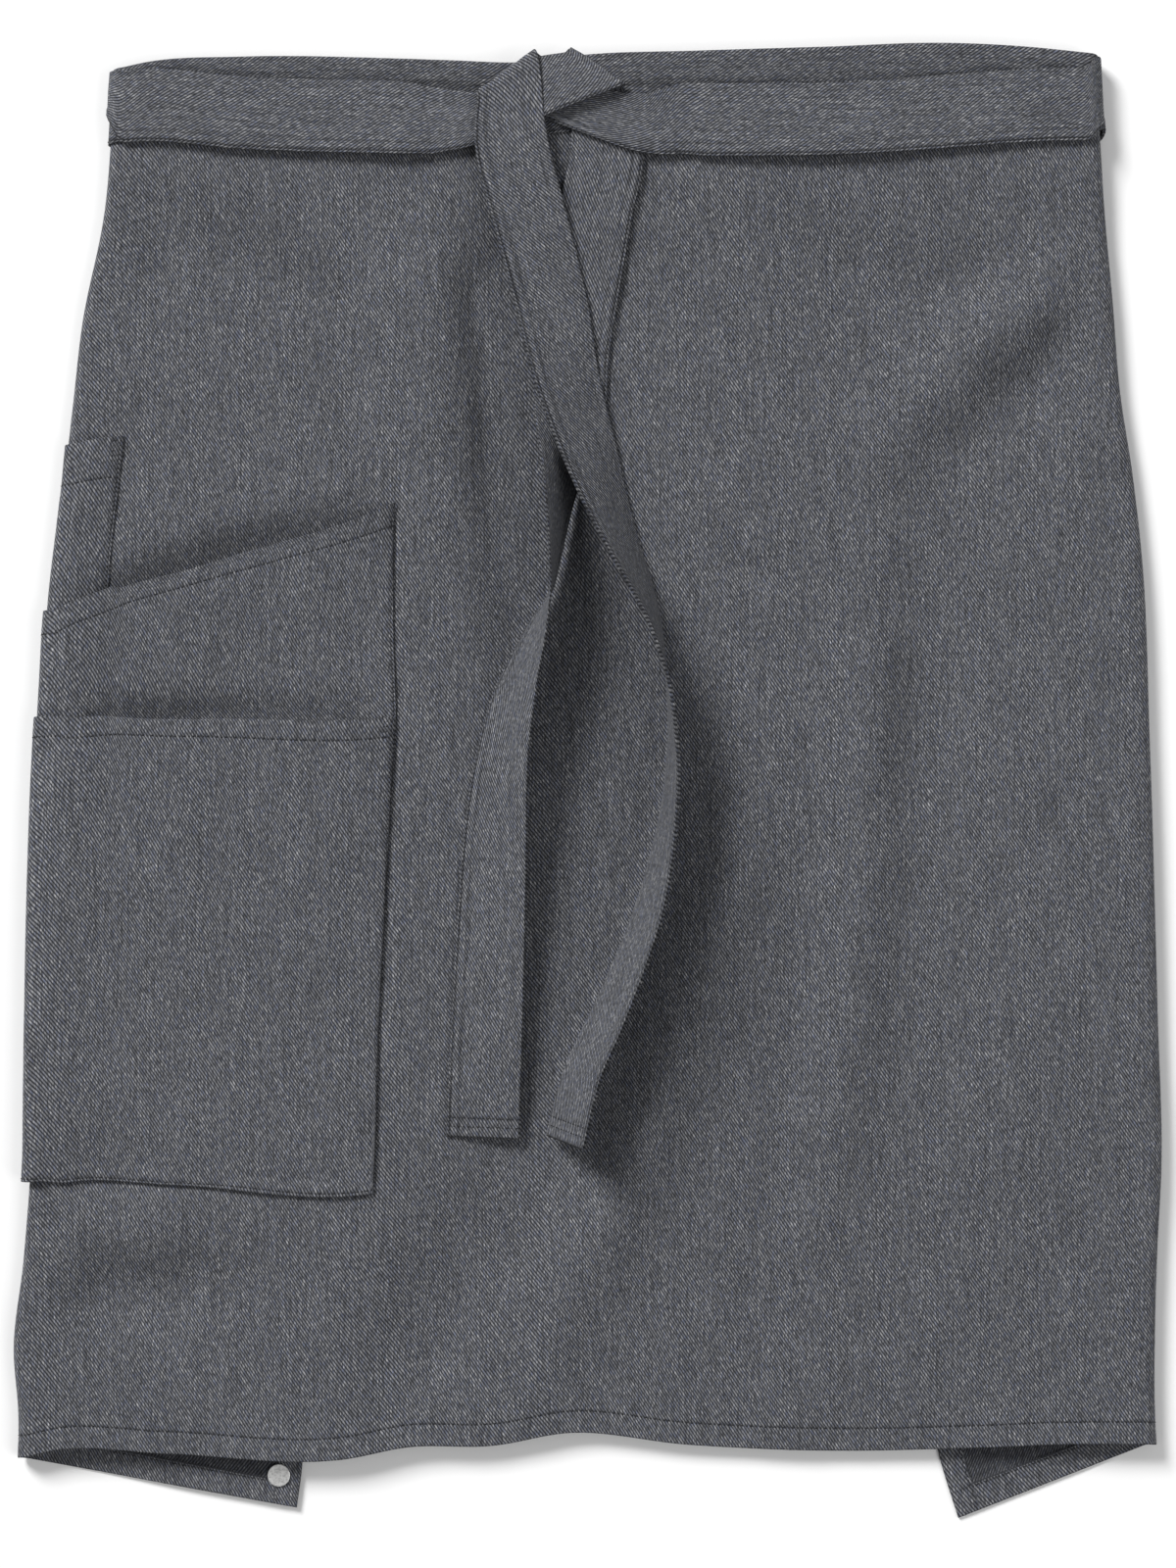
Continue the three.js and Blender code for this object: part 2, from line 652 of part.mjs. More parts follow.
// The stations of one stretch of a tie through rows of middles, in millimetres.
function lyingRun(rows, perRow, foldAtStart, foldAtEnd, layer) {
  const curve = new THREE.CatmullRomCurve3(rows.map(({ x, y }) => new THREE.Vector3(x, y, 0)));
  const intervals = rows.length - 1;
  const stations = [];
  for (let k = 0; k <= intervals * perRow; k += 1) {
    const t = k / (intervals * perRow);
    const middle = curve.getPoint(t);
    const heading = curve.getTangent(t);
    const row = Math.min(Math.floor(t * intervals), intervals - 1);
    const share = t * intervals - row;
    const roll = lerp(rows[row].roll ?? 0, rows[row + 1].roll ?? 0, share);
    const narrow = lerp(rows[row].narrow ?? 1, rows[row + 1].narrow ?? 1, share);
    let angle = Math.atan2(heading.y, heading.x) + Math.PI / 2;
    const square = angle;
    for (const [fold, end] of [[foldAtStart, rows[0]], [foldAtEnd, rows.at(-1)]]) {
      if (fold === null) continue;
      const away = Math.hypot(middle.x - end.x, middle.y - end.y) / tie.width;
      const pull = 1 - smoothstep(away, 0, 1.1);
      let turn = degToRad(fold) - square;
      turn -= Math.PI * Math.round(turn / Math.PI);
      angle += turn * pull;
    }
    const stretch = narrow / Math.max(Math.cos(angle - square), 0.5);
    stations.push(lyingStation(middle.x, middle.y, angle, roll, stretch, layer));
  }
  return stations;
}

// The stations of a turn-over between two stretches: half a circle that bulges outwards.
function foldStations(from, to, outwards) {
  return spread(0, Math.PI, steps.fold).slice(1, -1).map((angle) =>
    from.map((start, side) => {
      const end = to[side];
      const radius = Math.abs(end.z - start.z) / 2;
      const middle = start.clone().add(end).multiplyScalar(0.5);
      middle.addScaledVector(outwards, radius * Math.sin(angle));
      middle.z -= ((end.z - start.z) / 2) * Math.cos(angle);
      return middle;
    }));
}

// The stations of the belt's stretch round the skirt, with its edges above and below its middle line.
function beltStations(places, side) {
  const half = tie.width / 2 / skirt.length;
  return places.map((place) => {
    const down = readRow(beltRows, "place", place, "down");
    return [side, -side].map((edge) => {
      const point = clothSkin(place, Math.max(down + edge * half, 0), beltOffset);
      if (place < 1 || place > 4) point.z = tie.thickness / 2;
      return point;
    });
  });
}

// Where a tie turns back, short of the flap's end, as a share of its sewn overlap.
const turnBackShare = 0.15;

// The sewn end of a tie: it lies on the band's outer face, turns back at the flap's end and runs under it.
function sewnEnd(side) {
  const end = side < 0 ? 0 : 5;
  const full = side < 0 ? skirt.leftFlap : skirt.rightFlap;
  const inwards = (-side * tie.seam) / full;
  const along = beltStations([end + inwards, end + inwards * turnBackShare], side);
  const low = along[1].map((point) => point.clone());
  const high = along.map((pair) => pair.map((point) => point.clone().setZ(
    tie.thickness * 1.5 + gap)));
  const outwards = low[0].clone().sub(along[0][0]).setZ(0).normalize();
  return [...high, ...foldStations(high[1], low, outwards), low];
}

function tieGeometry(stations) {
  const outer = [];
  const inner = [];
  stations.forEach((pair, k) => {
    const before = stations[Math.max(k - 1, 0)];
    const after = stations[Math.min(k + 1, stations.length - 1)];
    const across = pair[1].clone().sub(pair[0]);
    const rows = pair.map((point, side) => {
      const along = after[side].clone().sub(before[side]);
      const normal = across.clone().cross(along).normalize();
      return [1, -1].map((face) =>
        point.clone().addScaledVector(normal, (face * tie.thickness) / 2));
    });
    outer.push(rows.map((row) => row[0]));
    inner.push(rows.map((row) => row[1]));
  });
  return wallGeometry(outer, inner);
}

const knotRow = ({ across, below, narrow }) => ({
  x: tie.knotX + across * tie.width,
  y: knotY - below * tie.width,
  narrow,
});
const tailRow = (length) => ({ across, below, roll, narrow }) => ({
  x: tie.knotX + across * length,
  y: knotY - below * length,
  roll,
  narrow,
});

// A whole tie: sewn end, back stretch, side fold, belt, knot, turn-over and tail.
function wholeTie({ side, knotRows, foldAngle, tailRows, length, beltLayer, tailLayer }) {
  const knot = knotRows.map(knotRow);
  const isLeft = side < 0;
  const full = isLeft ? skirt.leftFlap : skirt.rightFlap;
  const sewn = (tie.seam * turnBackShare) / full;
  const beltEnd = knot[0].x + side * tie.width * 0.3;
  const marks = isLeft ? [sewn, 1, 2] : [5 - sewn, 4, 3];
  const places = [
    ...spread(marks[0], marks[1], steps.beltFlap).slice(1),
    ...spread(marks[1], marks[2], steps.turn).slice(1),
    ...spread(marks[2], 2 + (beltEnd - leftSide(0)) / skirt.waist, steps.beltFront).slice(1),
  ];
  const belt = beltStations(places, side);
  const through = lyingRun(knot, steps.knotRow, null, foldAngle, beltLayer);
  const tail = lyingRun(tailRows.map(tailRow(length)), steps.tailRow, foldAngle, null, tailLayer);
  if (through[0][0].distanceTo(belt.at(-1)[0]) > through[0][1].distanceTo(belt.at(-1)[0])) {
    through.forEach((pair) => pair.reverse());
  }
  const last = through.at(-1);
  if (tail[0][0].distanceTo(last[0]) > tail[0][1].distanceTo(last[0])) {
    tail.forEach((pair) => pair.reverse());
  }
  const upwards = degToRad(foldAngle) + Math.PI / 2;
  const outwards = new THREE.Vector3(Math.cos(upwards), Math.sin(upwards), 0);
  return [...sewnEnd(side), ...belt, ...through, ...foldStations(last, tail[0], outwards), ...tail];
}

// Press stud. The cap's post goes through the flap into the socket's hole.
function capGeometry() {
  const { radius, thickness, post } = stud;
  const profile = [
    [0, thickness], [radius * 0.72, thickness], [radius * 0.94, thickness * 0.72],
    [radius, thickness * 0.3], [radius * 0.96, 0], [post, 0],
    [post, -skirt.cloth - 2 * gap - thickness * 0.7], [0, -skirt.cloth - 2 * gap - thickness * 0.7],
  ];
  return new THREE.LatheGeometry(profile.map(([x, y]) => new THREE.Vector2(x, y)).reverse(), 20);
}

function socketGeometry() {
  const { radius, thickness, post, postClearance } = stud;
  const bore = post + postClearance;
  const profile = [
    [bore, 0], [bore, thickness], [radius * 0.97, thickness], [radius, thickness * 0.7],
    [radius, thickness * 0.25], [radius * 0.9, 0], [bore, 0],
  ];
  return new THREE.LatheGeometry(profile.map(([x, y]) => new THREE.Vector2(x, y)).reverse(), 20);
}

// Materials, one for each mesh.
const clothColour = 0x5c5d63;
const pocketColour = 0x5d5f64;
const bandColour = 0x525357;
const tieColour = 0x5a5c61;
const studColour = 0xc9c9cb;

function fabric(color) {
  return new THREE.MeshStandardMaterial({ color, roughness: 0.95, metalness: 0 });
}

function metal(color) {
  return new THREE.MeshStandardMaterial({ color, roughness: 0.42, metalness: 1 });
}

const apron = new THREE.Group();
apron.name = "waist_apron";

function addPiece(name, geometry, material) {
  const mesh = new THREE.Mesh(geometry, material);
  mesh.name = name;
  apron.add(mesh);
  return mesh;
}

addPiece("apron_body", skirtGeometry(), fabric(clothColour));
addPiece("waistband", bandGeometry(), fabric(bandColour));
addPiece("pocket_pen", pocketGeometry(penPocket), fabric(pocketColour));
addPiece("pocket_angled", pocketGeometry(angledPocket), fabric(pocketColour));
addPiece("pocket_large", pocketGeometry(largePocket), fabric(pocketColour));

const leftTie = wholeTie({
  side: -1,
  knotRows: leftKnotRows,
  foldAngle: leftFoldAngle,
  tailRows: leftTailRows,
  length: tie.leftTail,
  beltLayer: layers.leftBelt,
  tailLayer: layers.leftTail,
});
const rightTie = wholeTie({
  side: 1,
  knotRows: rightKnotRows,
  foldAngle: rightFoldAngle,
  tailRows: rightTailRows,
  length: tie.rightTail,
  beltLayer: layers.rightBelt,
  tailLayer: layers.rightTail,
});
addPiece("tie_left", tieGeometry(leftTie), fabric(tieColour));
addPiece("tie_right", tieGeometry(rightTie), fabric(tieColour));

const studSpot = studPlace();
const studMiddle = clothPoint(1 - studSpot.along, studSpot.down);
const cap = addPiece("stud_cap", closedLathe(capGeometry()), metal(studColour));
cap.rotation.x = Math.PI / 2;
cap.position.set(studMiddle.x, studMiddle.y, studMiddle.z + skirt.cloth / 2 + gap);
const socket = addPiece("stud_socket", closedLathe(socketGeometry()), metal(studColour));
socket.rotation.x = Math.PI / 2;
socket.position.set(studMiddle.x, studMiddle.y, studMiddle.z - skirt.cloth / 2 - gap - stud.thickness);

export default apron;
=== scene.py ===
import math
from functools import partial
from types import SimpleNamespace as Sizes

import bpy
import numpy as np
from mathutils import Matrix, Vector


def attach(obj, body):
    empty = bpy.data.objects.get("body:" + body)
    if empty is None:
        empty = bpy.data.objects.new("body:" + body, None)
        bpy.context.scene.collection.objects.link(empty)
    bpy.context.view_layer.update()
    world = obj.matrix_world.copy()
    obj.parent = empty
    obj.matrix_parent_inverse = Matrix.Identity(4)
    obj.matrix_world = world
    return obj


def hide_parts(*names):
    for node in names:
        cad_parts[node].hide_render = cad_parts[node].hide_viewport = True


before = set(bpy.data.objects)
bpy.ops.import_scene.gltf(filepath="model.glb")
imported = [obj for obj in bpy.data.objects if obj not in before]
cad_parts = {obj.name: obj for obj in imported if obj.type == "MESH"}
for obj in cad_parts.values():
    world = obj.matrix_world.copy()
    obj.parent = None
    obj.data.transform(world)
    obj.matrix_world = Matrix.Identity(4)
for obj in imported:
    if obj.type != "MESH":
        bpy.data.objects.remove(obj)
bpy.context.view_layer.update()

METRE = 0.001  # metres in a millimetre

# Sizes of the apron. gap is the room between two layers.
gap = 0.3
skirt = Sizes(length=781, waist=556, hem=641, cloth=1, fold_radius=6, left_flap=214, right_flap=148,
              edge_sway=10, sag=4.5)
band = Sizes(height=41, wall=1, hollow=7)
tie = Sizes(width=41.2, thickness=1.6, layer=2.3, knot_x=-16.5, knot_drop=22, left_tail=583,
            right_tail=584, seam=22)
pocket = Sizes(wall=1, wrap=26, mouth_stand=7, clearance=0.6, depth=262, width=199, bottom=0.806,
               angled_short=121, angled_long=64, pen_width=32, pen_depth=150, pen_drop=0.269)
stud = Sizes(radius=6.3, thickness=1.6, from_side=13, from_hem=17)

# Sizes that only the finished cloth shows.
twill = Sizes(wall=0.6, hem=12.6, hem_turn=14.4, seam_inset=1.8)
thread = Sizes(length=1.75, step=2.6, radius=0.3, raised=0.09, half_width=0.375, dip=0.33)
dent_depth = Sizes(skirt=0.24, band=0.14, pocket=0.28, tie=0.22, tie_end=0.2)  # where stitches pull in
stitch_sink = 0.12  # how far a stitch lies below the skin beside its dent
far = 9999  # a distance that nothing on the apron reaches


def table(columns, *rows):
    """Named columns of numbers, whose first one tells the place of each row."""
    return dict(zip(columns.split(), np.array(rows, float).T))


# The side folds' distance from the middle, as shares of the skirt's half width.
side_rows = table(
    "down left right",
    (0, 0.955, 1.025), (0.1, 0.949, 1.012), (0.18, 0.973, 1.011), (0.24, 0.978, 1.01),
    (0.3, 0.983, 1.021), (0.36, 0.99, 1.027), (0.49, 0.993, 1.02), (0.69, 0.986, 1.012),
    (0.8, 0.983, 1.011), (0.86, 0.993, 1.001), (0.92, 1.008, 0.995), (0.97, 0.999, 0.994),
    (1, 1, 0.997))

# The sway of the waist and hem lines across the front.
edge_rows = table(
    "across waist hem",
    (0, -0.71, -0.44), (0.03, -0.33, 0.05), (0.13, 0, -0.1), (0.29, -0.11, -0.39), (0.34, -0.2, 0.22),
    (0.42, -0.3, 0.33), (0.48, 0.11, 1), (0.59, 0.33, 0.33), (0.72, 0.55, 0), (0.85, 0.77, 0.2),
    (0.92, 0.6, 0.4), (1, 0.17, 0.44))

# The back flaps: shares of their reach at the waist, and their turn in degrees.
flap_rows = table(
    "down left_reach left_turn right_reach right_turn",
    (0, 1, 8.3, 1, 5), (0.5, 0.88, 9, 0.92, 7), (0.85, 0.79, 10.2, 0.88, 12.5),
    (0.945, 0.766, 10.6, 0.872, 17.8), (1, 0.743, 10.3, 0.804, 21.4))

# Soft folds of the front: how wide, how high or below zero how deep, and the points of their lines.
soft_folds = [
    (9, -2.2, (-68, 330), (-53, 230), (-44, 120)),
    (17, -6.3, (-55, 346), (-38, 220), (-30, 110), (-33, 44)),
    (26, 3, (-99, 330), (-88, 165)),
    (15, -4, (-242, 335), (-198, 302), (-148, 270), (-126, 220), (-110, 181)),
    (10, -2.5, (-264, 352), (-236, 264)),
    (15, -3.6, (-302, -286), (-210, -290)),
    (16, 2, (-300, -250), (-215, -250)),
    (20, -4, (-44, -226), (-80, -292), (-105, -347)),
    (16, 4, (104, 22), (80, -55), (55, -116), (27, -209), (-11, -292), (-30, -347)),
    (14, -3, (129, -44), (121, -165), (99, -292)),
    (16, 4.5, (165, 132), (161, 55), (157, -44), (135, -182), (118, -253)),
    (18, -3, (193, 182), (190, 55), (173, -55)),
    (16, 4, (286, 294), (206, 234), (168, 182)),
    (16, -3, (281, 259), (231, 198)),
    (12, -2.5, (118, 335), (154, 275)),
    (12, -2, (181, 283), (225, 283)),
    (5, -1.2, (77, 126), (102, 113)),
    (24, 2, (236, -110), (225, -248)),
]

# How far down the ties run as a belt.
belt_rows = table(
    "place down",
    (0, 0.0265), (2, 0.0275), (2.13, 0.039), (2.3, 0.041), (2.58, 0.048), (2.84, 0.048), (3, 0.0355),
    (4, 0.0355), (5, 0.0275))

# The ties' courses through the knot, in tie widths, and down their tails, in tail lengths. roll is in
# degrees, and narrow tells how far the tie is gathered.
left_knot_rows = table(
    "across below roll narrow",
    (-1.73, 0.31, 0, 0.92), (-1.3, 0.3, 0, 0.78), (-0.93, 0.25, 0, 0.66), (-0.27, -0.13, 0, 0.8),
    (0.49, -0.37, 0, 0.66))
right_knot_rows = table(
    "across below roll narrow",
    (1.75, 0.28, 0, 1), (1.2, 0.35, 0, 0.82), (0.59, 0.22, 0, 0.68), (-0.07, -0.04, 0, 0.7),
    (-0.69, -0.31, 0, 0.85))
left_fold_angle, right_fold_angle = -38, 36  # of the folds over the knot, in degrees

left_tail_rows = table(
    "across below roll narrow",
    (0.0345, -0.026, 0, 0.66), (0.047, 0.045, 0, 1), (0.036, 0.108, 0, 1), (0.022, 0.19, 0, 1),
    (0.013, 0.25, 0, 1), (0.011, 0.3, 16, 1), (0.006, 0.34, 48, 1), (0.001, 0.385, 68, 1),
    (-0.003, 0.43, 80, 1), (-0.008, 0.475, 91, 1), (-0.02, 0.51, 106, 1), (-0.039, 0.565, 122, 1),
    (-0.053, 0.63, 135, 1), (-0.06, 0.7, 148, 1), (-0.065, 0.8, 160, 1), (-0.07, 0.91, 171, 1),
    (-0.073, 1, 178, 1))
right_tail_rows = table(
    "across below roll narrow",
    (-0.0488, -0.0219, 0, 0.85), (-0.045, 0.045, 0, 1), (-0.026, 0.12, 6, 1), (-0.006, 0.2, 13, 1),
    (0.008, 0.268, 28, 1), (0.03, 0.34, 42, 1), (0.058, 0.42, 61, 1), (0.088, 0.49, 76, 1),
    (0.104, 0.56, 90, 1), (0.109, 0.62, 97, 1), (0.105, 0.686, 103, 1), (0.085, 0.782, 112, 1),
    (0.047, 0.881, 118, 1), (0.023, 0.934, 120, 1), (0.006, 1, 122, 1))


# Small helpers.
def lerp(low, high, share):
    return low + (high - low) * share


def smoothstep(at, low, high):
    share = np.clip((at - low) / (high - low), 0, 1)
    return share * share * (3 - 2 * share)


def bump(at, middle, spread):
    """A smooth hump of height 1."""
    return np.exp(-((at - middle) / spread) ** 2)


def hermite(start, leave, end, arrive, share):
    """The cubic from start to end that leaves and arrives with the given slopes."""
    return ((2 * share ** 3 - 3 * share ** 2 + 1) * start + (share ** 3 - 2 * share ** 2 + share) * leave
            + (3 * share ** 2 - 2 * share ** 3) * end + (share ** 3 - share ** 2) * arrive)


def read_row(rows, at, column):
    """Reads a column of a table on one smooth curve through its rows, at places in its first column."""
    keys, values = next(iter(rows.values())), rows[column]
    slopes = np.gradient(values, keys)
    at = np.asarray(at, float)
    before = np.clip(np.searchsorted(keys, at) - 1, 0, len(keys) - 2)
    step = keys[before + 1] - keys[before]
    share = np.clip((at - keys[before]) / step, 0, 1)
    leave, arrive = slopes[before] * step, slopes[before + 1] * step
    return hermite(values[before], leave, values[before + 1], arrive, share)


def soft_noise(x, y, size, seed):
    """Smooth noise from -1 to 1, with bumps about as wide as size."""
    table = np.random.default_rng(seed).uniform(-1, 1, (64, 64))
    across, along = np.asarray(x, float) / size, np.asarray(y, float) / size
    column, row = np.floor(across).astype(int), np.floor(along).astype(int)
    across, along = across - column, along - row
    across = across ** 3 * (across * (across * 6 - 15) + 10)
    along = along ** 3 * (along * (along * 6 - 15) + 10)
    low = lerp(table[column % 64, row % 64], table[(column + 1) % 64, row % 64], across)
    high = lerp(table[column % 64, (row + 1) % 64], table[(column + 1) % 64, (row + 1) % 64], across)
    return lerp(low, high, along)


def unit(vectors):
    return vectors / np.maximum(np.linalg.norm(vectors, axis=-1, keepdims=True), 1e-9)


def spread_evenly(start, end, step):
    return np.linspace(start, end, max(int(math.ceil(abs(end - start) / step)), 1) + 1)


def distances(points):
    """How far along a line of points each of them lies."""
    return np.concatenate([[0], np.cumsum(np.linalg.norm(np.diff(points, axis=0), axis=1))])


def smoothed(values, passes):
    """Moves all values but the ends half way to their neighbours' middle, pass after pass, in place."""
    for _ in range(passes):
        values[1:-1] = values[1:-1] * 0.5 + (values[:-2] + values[2:]) * 0.25
    return values


# The skirt's outline.
right_corner_turn = math.radians(flap_rows["right_turn"][-1])
right_corner_hang = (skirt.right_flap * flap_rows["right_reach"][-1] * math.sin(right_corner_turn)
                     - skirt.edge_sway * edge_rows["hem"][-1])
highest_waist = skirt.edge_sway * edge_rows["waist"].max()
waist_line = (skirt.length + right_corner_hang - highest_waist) / 2
band_share = band.height / skirt.length


def half_width(down):
    return lerp(skirt.waist, skirt.hem, 1 - (1 - down) ** 2) / 2


def left_side(down):
    return -half_width(down) * read_row(side_rows, down, "left")


def right_side(down):
    return half_width(down) * read_row(side_rows, down, "right")


def row_y(across, down):
    waist_y = waist_line + skirt.edge_sway * read_row(edge_rows, across, "waist")
    hem_y = waist_line - skirt.length + skirt.edge_sway * read_row(edge_rows, across, "hem")
    return lerp(waist_y, hem_y, down)


large_mouth = pocket.bottom - pocket.depth / skirt.length
angled_mouth_left = large_mouth - pocket.angled_long / skirt.length

# Heights of the walls, as they are sewn and as they lie.
band_offset = skirt.cloth / 2 + gap
belt_offset = band_offset + band.wall + gap + tie.thickness / 2
waist_radius = band.hollow / 2 + band_offset + band.wall
pocket_layer = pocket.wall + pocket.clearance


def band_lift(down):
    """1 inside the waistband, and less below it, where the cloth comes back to its own height."""
    return 1 - smoothstep(down, band_share * 1.35, band_share * 2.6)


def pocket_lift(down, from_fold):
    """How far the pockets' wrapped edges lift the left flap off the floor."""
    ramp = 0.012
    stack = sum(smoothstep(down, mouth - 3 * ramp, mouth - ramp)
                for mouth in (pocket.pen_drop, angled_mouth_left, large_mouth))
    ended = 1 - smoothstep(down, pocket.bottom + ramp, pocket.bottom + 5 * ramp)
    near = 1 - smoothstep(from_fold, pocket.wrap * 1.3, pocket.wrap * 3.2)
    return pocket_layer * stack * ended * near


def flap_height(down, along, extra_lift):
    doubled = (tie.thickness + gap) * smoothstep(along, 0.72, 0.84)
    lifted = belt_offset + tie.thickness / 2 + doubled
    return lerp(skirt.cloth / 2, lifted, band_lift(down)) + extra_lift


def turn_at(down, side):
    """Radius of a side fold, and the height of its centre."""
    lift = pocket_lift(down, 0) if side < 0 else 0
    radius = lerp(skirt.fold_radius, waist_radius, band_lift(down)) - lift / 2
    return radius, flap_height(down, 0, lift) + radius


def fold_height(fold, x, y):
    """A soft fold along its line, lower towards both of its ends."""
    width, height, *points = fold
    points = np.array(points, float)
    starts = distances(points)
    nearest, along = np.full(np.shape(x), float(far)), np.zeros(np.shape(x))
    for start, end, step, before in zip(points, points[1:], np.diff(starts), starts):
        share = ((x - start[0]) * (end[0] - start[0]) + (y - start[1]) * (end[1] - start[1])) / step ** 2
        share = np.clip(share, 0, 1)
        away = np.hypot(x - lerp(start[0], end[0], share), y - lerp(start[1], end[1], share))
        along = np.where(away < nearest, before + share * step, along)
        nearest = np.minimum(nearest, away)
    reach = starts[-1] * 0.3
    ends = [lerp(0.4, 1, smoothstep(inwards, 0, reach)) for inwards in (along, starts[-1] - along)]
    return height * ends[0] * ends[1] * np.exp(-(nearest / width) ** 2 / 2)


def on_pocket(shape, x, y):
    """How far down the skirt and in from the left fold a point lies, and its share of a pocket's width."""
    down = (waist_line - y) / skirt.length
    inwards = x - left_side(down)
    return down, inwards, np.clip(inwards / shape.right(down), 0, 1)


def mouth_dip(shape, x, y):
    """How far the cloth behind a pocket sinks at the pocket's open mouth."""
    down, _, share = on_pocket(shape, x, y)
    above = (shape.mouth(share) - down) * skirt.length
    near = (1 - smoothstep(above, -2, 17)) * (1 - smoothstep(-above, 20, 80))
    return shape.dip * np.sin(np.pi * share) ** 0.7 * near


def pressed_under(shape, x, y):
    """1 where a pocket lies on the front, with a short slope outside its right and bottom edges."""
    down, inwards, share = on_pocket(shape, x, y)
    past_right = inwards - shape.right(down)
    past_bottom = (down - shape.bottom(0.5)) * skirt.length
    below_mouth = (down - shape.mouth(share)) * skirt.length
    inside = (1 - smoothstep(past_right, 0.5, 5)) * (1 - smoothstep(past_bottom, 1.5, 7))
    return inside * smoothstep(below_mouth, -2, 8) * smoothstep(inwards, 6, 30)


def fine_relief(x, y):
    """The cloth's small unevenness."""
    streaky = soft_noise(x, y * 0.35, 17, 3) * 0.22 + soft_noise(x, y * 0.5, 38, 4) * 0.45
    return streaky + soft_noise(x * 0.8, y, 80, 5) * 0.5


# How strongly the front's forms show, and the height over the floor that keeps it clear of the flaps.
front_form = Sizes(folds=2.2, unevenness=1.5, pressed=1.8, lowest=4.2)
floor_gap = 0.02  # nothing lies lower than this


def front_height(x, y):
    down = np.clip((waist_line - y) / skirt.length, 0, 1)
    left, right = left_side(down), right_side(down)
    across = np.clip((x - left) / (right - left), 0, 1)
    radius, centre = turn_at(down, 1)
    middle = smoothstep(across, 0.3, 0.5) * (1 - smoothstep(across, 0.75, 1))
    below = smoothstep(down, band_share * 1.4, band_share * 3.5)
    sag = skirt.sag * middle * below * lerp(0.6, 1, down)
    inside = smoothstep(across, 0.015, 0.07) * (1 - smoothstep(across, 0.93, 0.985))
    folds = sum(fold_height(fold, x, y) for fold in soft_folds)
    dips = sum(mouth_dip(shape, x, y) for shape in pockets.values())
    pressed = np.maximum(pressed_under(pockets["angled"], x, y), pressed_under(pockets["pen"], x, y) * 0.6)
    soft = front_form.folds * folds - dips + front_form.unevenness * fine_relief(x, y)
    over = centre + radius - sag + (soft * below - front_form.pressed * pressed) * inside - front_form.lowest
    return front_form.lowest + (over + np.sqrt(over * over + 3)) / 2


def flap_reach(down, side):
    full, column = (skirt.left_flap, "left_reach") if side < 0 else (skirt.right_flap, "right_reach")
    return full * read_row(flap_rows, down, column)


def stud_place():
    """How far down the skirt and along its left flap the stud sits, and the flap's reach there."""
    down = 1 - stud.from_hem / skirt.length
    reach = flap_reach(down, -1)
    return down, (reach - stud.from_side) / reach, reach


def flap_point(down, side, outward):
    """A place on a back flap, at a share outward from its fold to its edge."""
    radius, _ = turn_at(down, side)
    reach = flap_reach(down, side)
    turn = np.radians(read_row(flap_rows, down, "left_turn" if side < 0 else "right_turn"))
    start = lerp(radius, reach, outward)
    fold_x = left_side(down) if side < 0 else right_side(down)
    x = fold_x - side * start * np.cos(turn)
    y = row_y(0 if side < 0 else 1, down) - start * np.sin(turn)
    lift = 0
    if side < 0:
        stud_down, stud_along, stud_reach = stud_place()
        off = np.hypot((outward - stud_along) * stud_reach, (down - stud_down) * skirt.length)
        lift = (stud.thickness + gap) * (1 - smoothstep(off, 45, 110)) + pocket_lift(down, start - radius)
    return np.stack([x, y, flap_height(down, outward, lift)], -1)


def by_zone(place, left_flap, left_fold, front, right_fold, right_flap):
    return np.where(place <= 1, left_flap, np.where(place < 2, left_fold, np.where(
        place <= 3, front, np.where(place < 4, right_fold, right_flap))))


def cloth_point(place, down):
    """The middle of the skirt's wall. place runs over the left flap to 1, round the left fold to 2,
    over the front to 3, round the right fold to 4 and over the right flap to 5."""
    place, down = np.broadcast_arrays(np.asarray(place, float), np.asarray(down, float))
    left, right = left_side(down), right_side(down)
    radii = {side: turn_at(down, side) for side in (-1, 1)}
    x = lerp(left + radii[-1][0], right - radii[1][0], place - 2)
    y = row_y((x - left) / (right - left), down)
    front = np.stack([x, y, front_height(x, y)], -1)
    folds = []
    for side, up, fold_x in ((-1, place - 1, left), (1, 4 - place, right)):
        radius, centre = radii[side]
        inner = radius / (right - left)
        angle = np.pi * np.clip(up, 0, 1)
        low = flap_point(down, side, np.zeros_like(down))[..., 1]
        high = row_y(inner if side < 0 else 1 - inner, down)
        folds.append(np.stack([fold_x - side * radius * (1 - np.sin(angle)), lerp(low, high, up),
                               centre - radius * np.cos(angle)], -1))
    return by_zone(place[..., None], flap_point(down, -1, 1 - place), folds[0], front, folds[1],
                   flap_point(down, 1, place - 4))


def cloth_normal(place, down):
    place, down = np.asarray(place, float), np.asarray(down, float)
    across = (cloth_point(np.minimum(place + 0.004, 5), down)
              - cloth_point(np.maximum(place - 0.004, 0), down))
    along = (cloth_point(place, np.minimum(down + 0.003, 1))
             - cloth_point(place, np.maximum(down - 0.003, 0)))
    return unit(np.cross(along, across))


def cloth_skin(place, down, offset):
    offset = np.asarray(offset, float)[..., None]
    return cloth_point(place, down) + cloth_normal(place, down) * offset


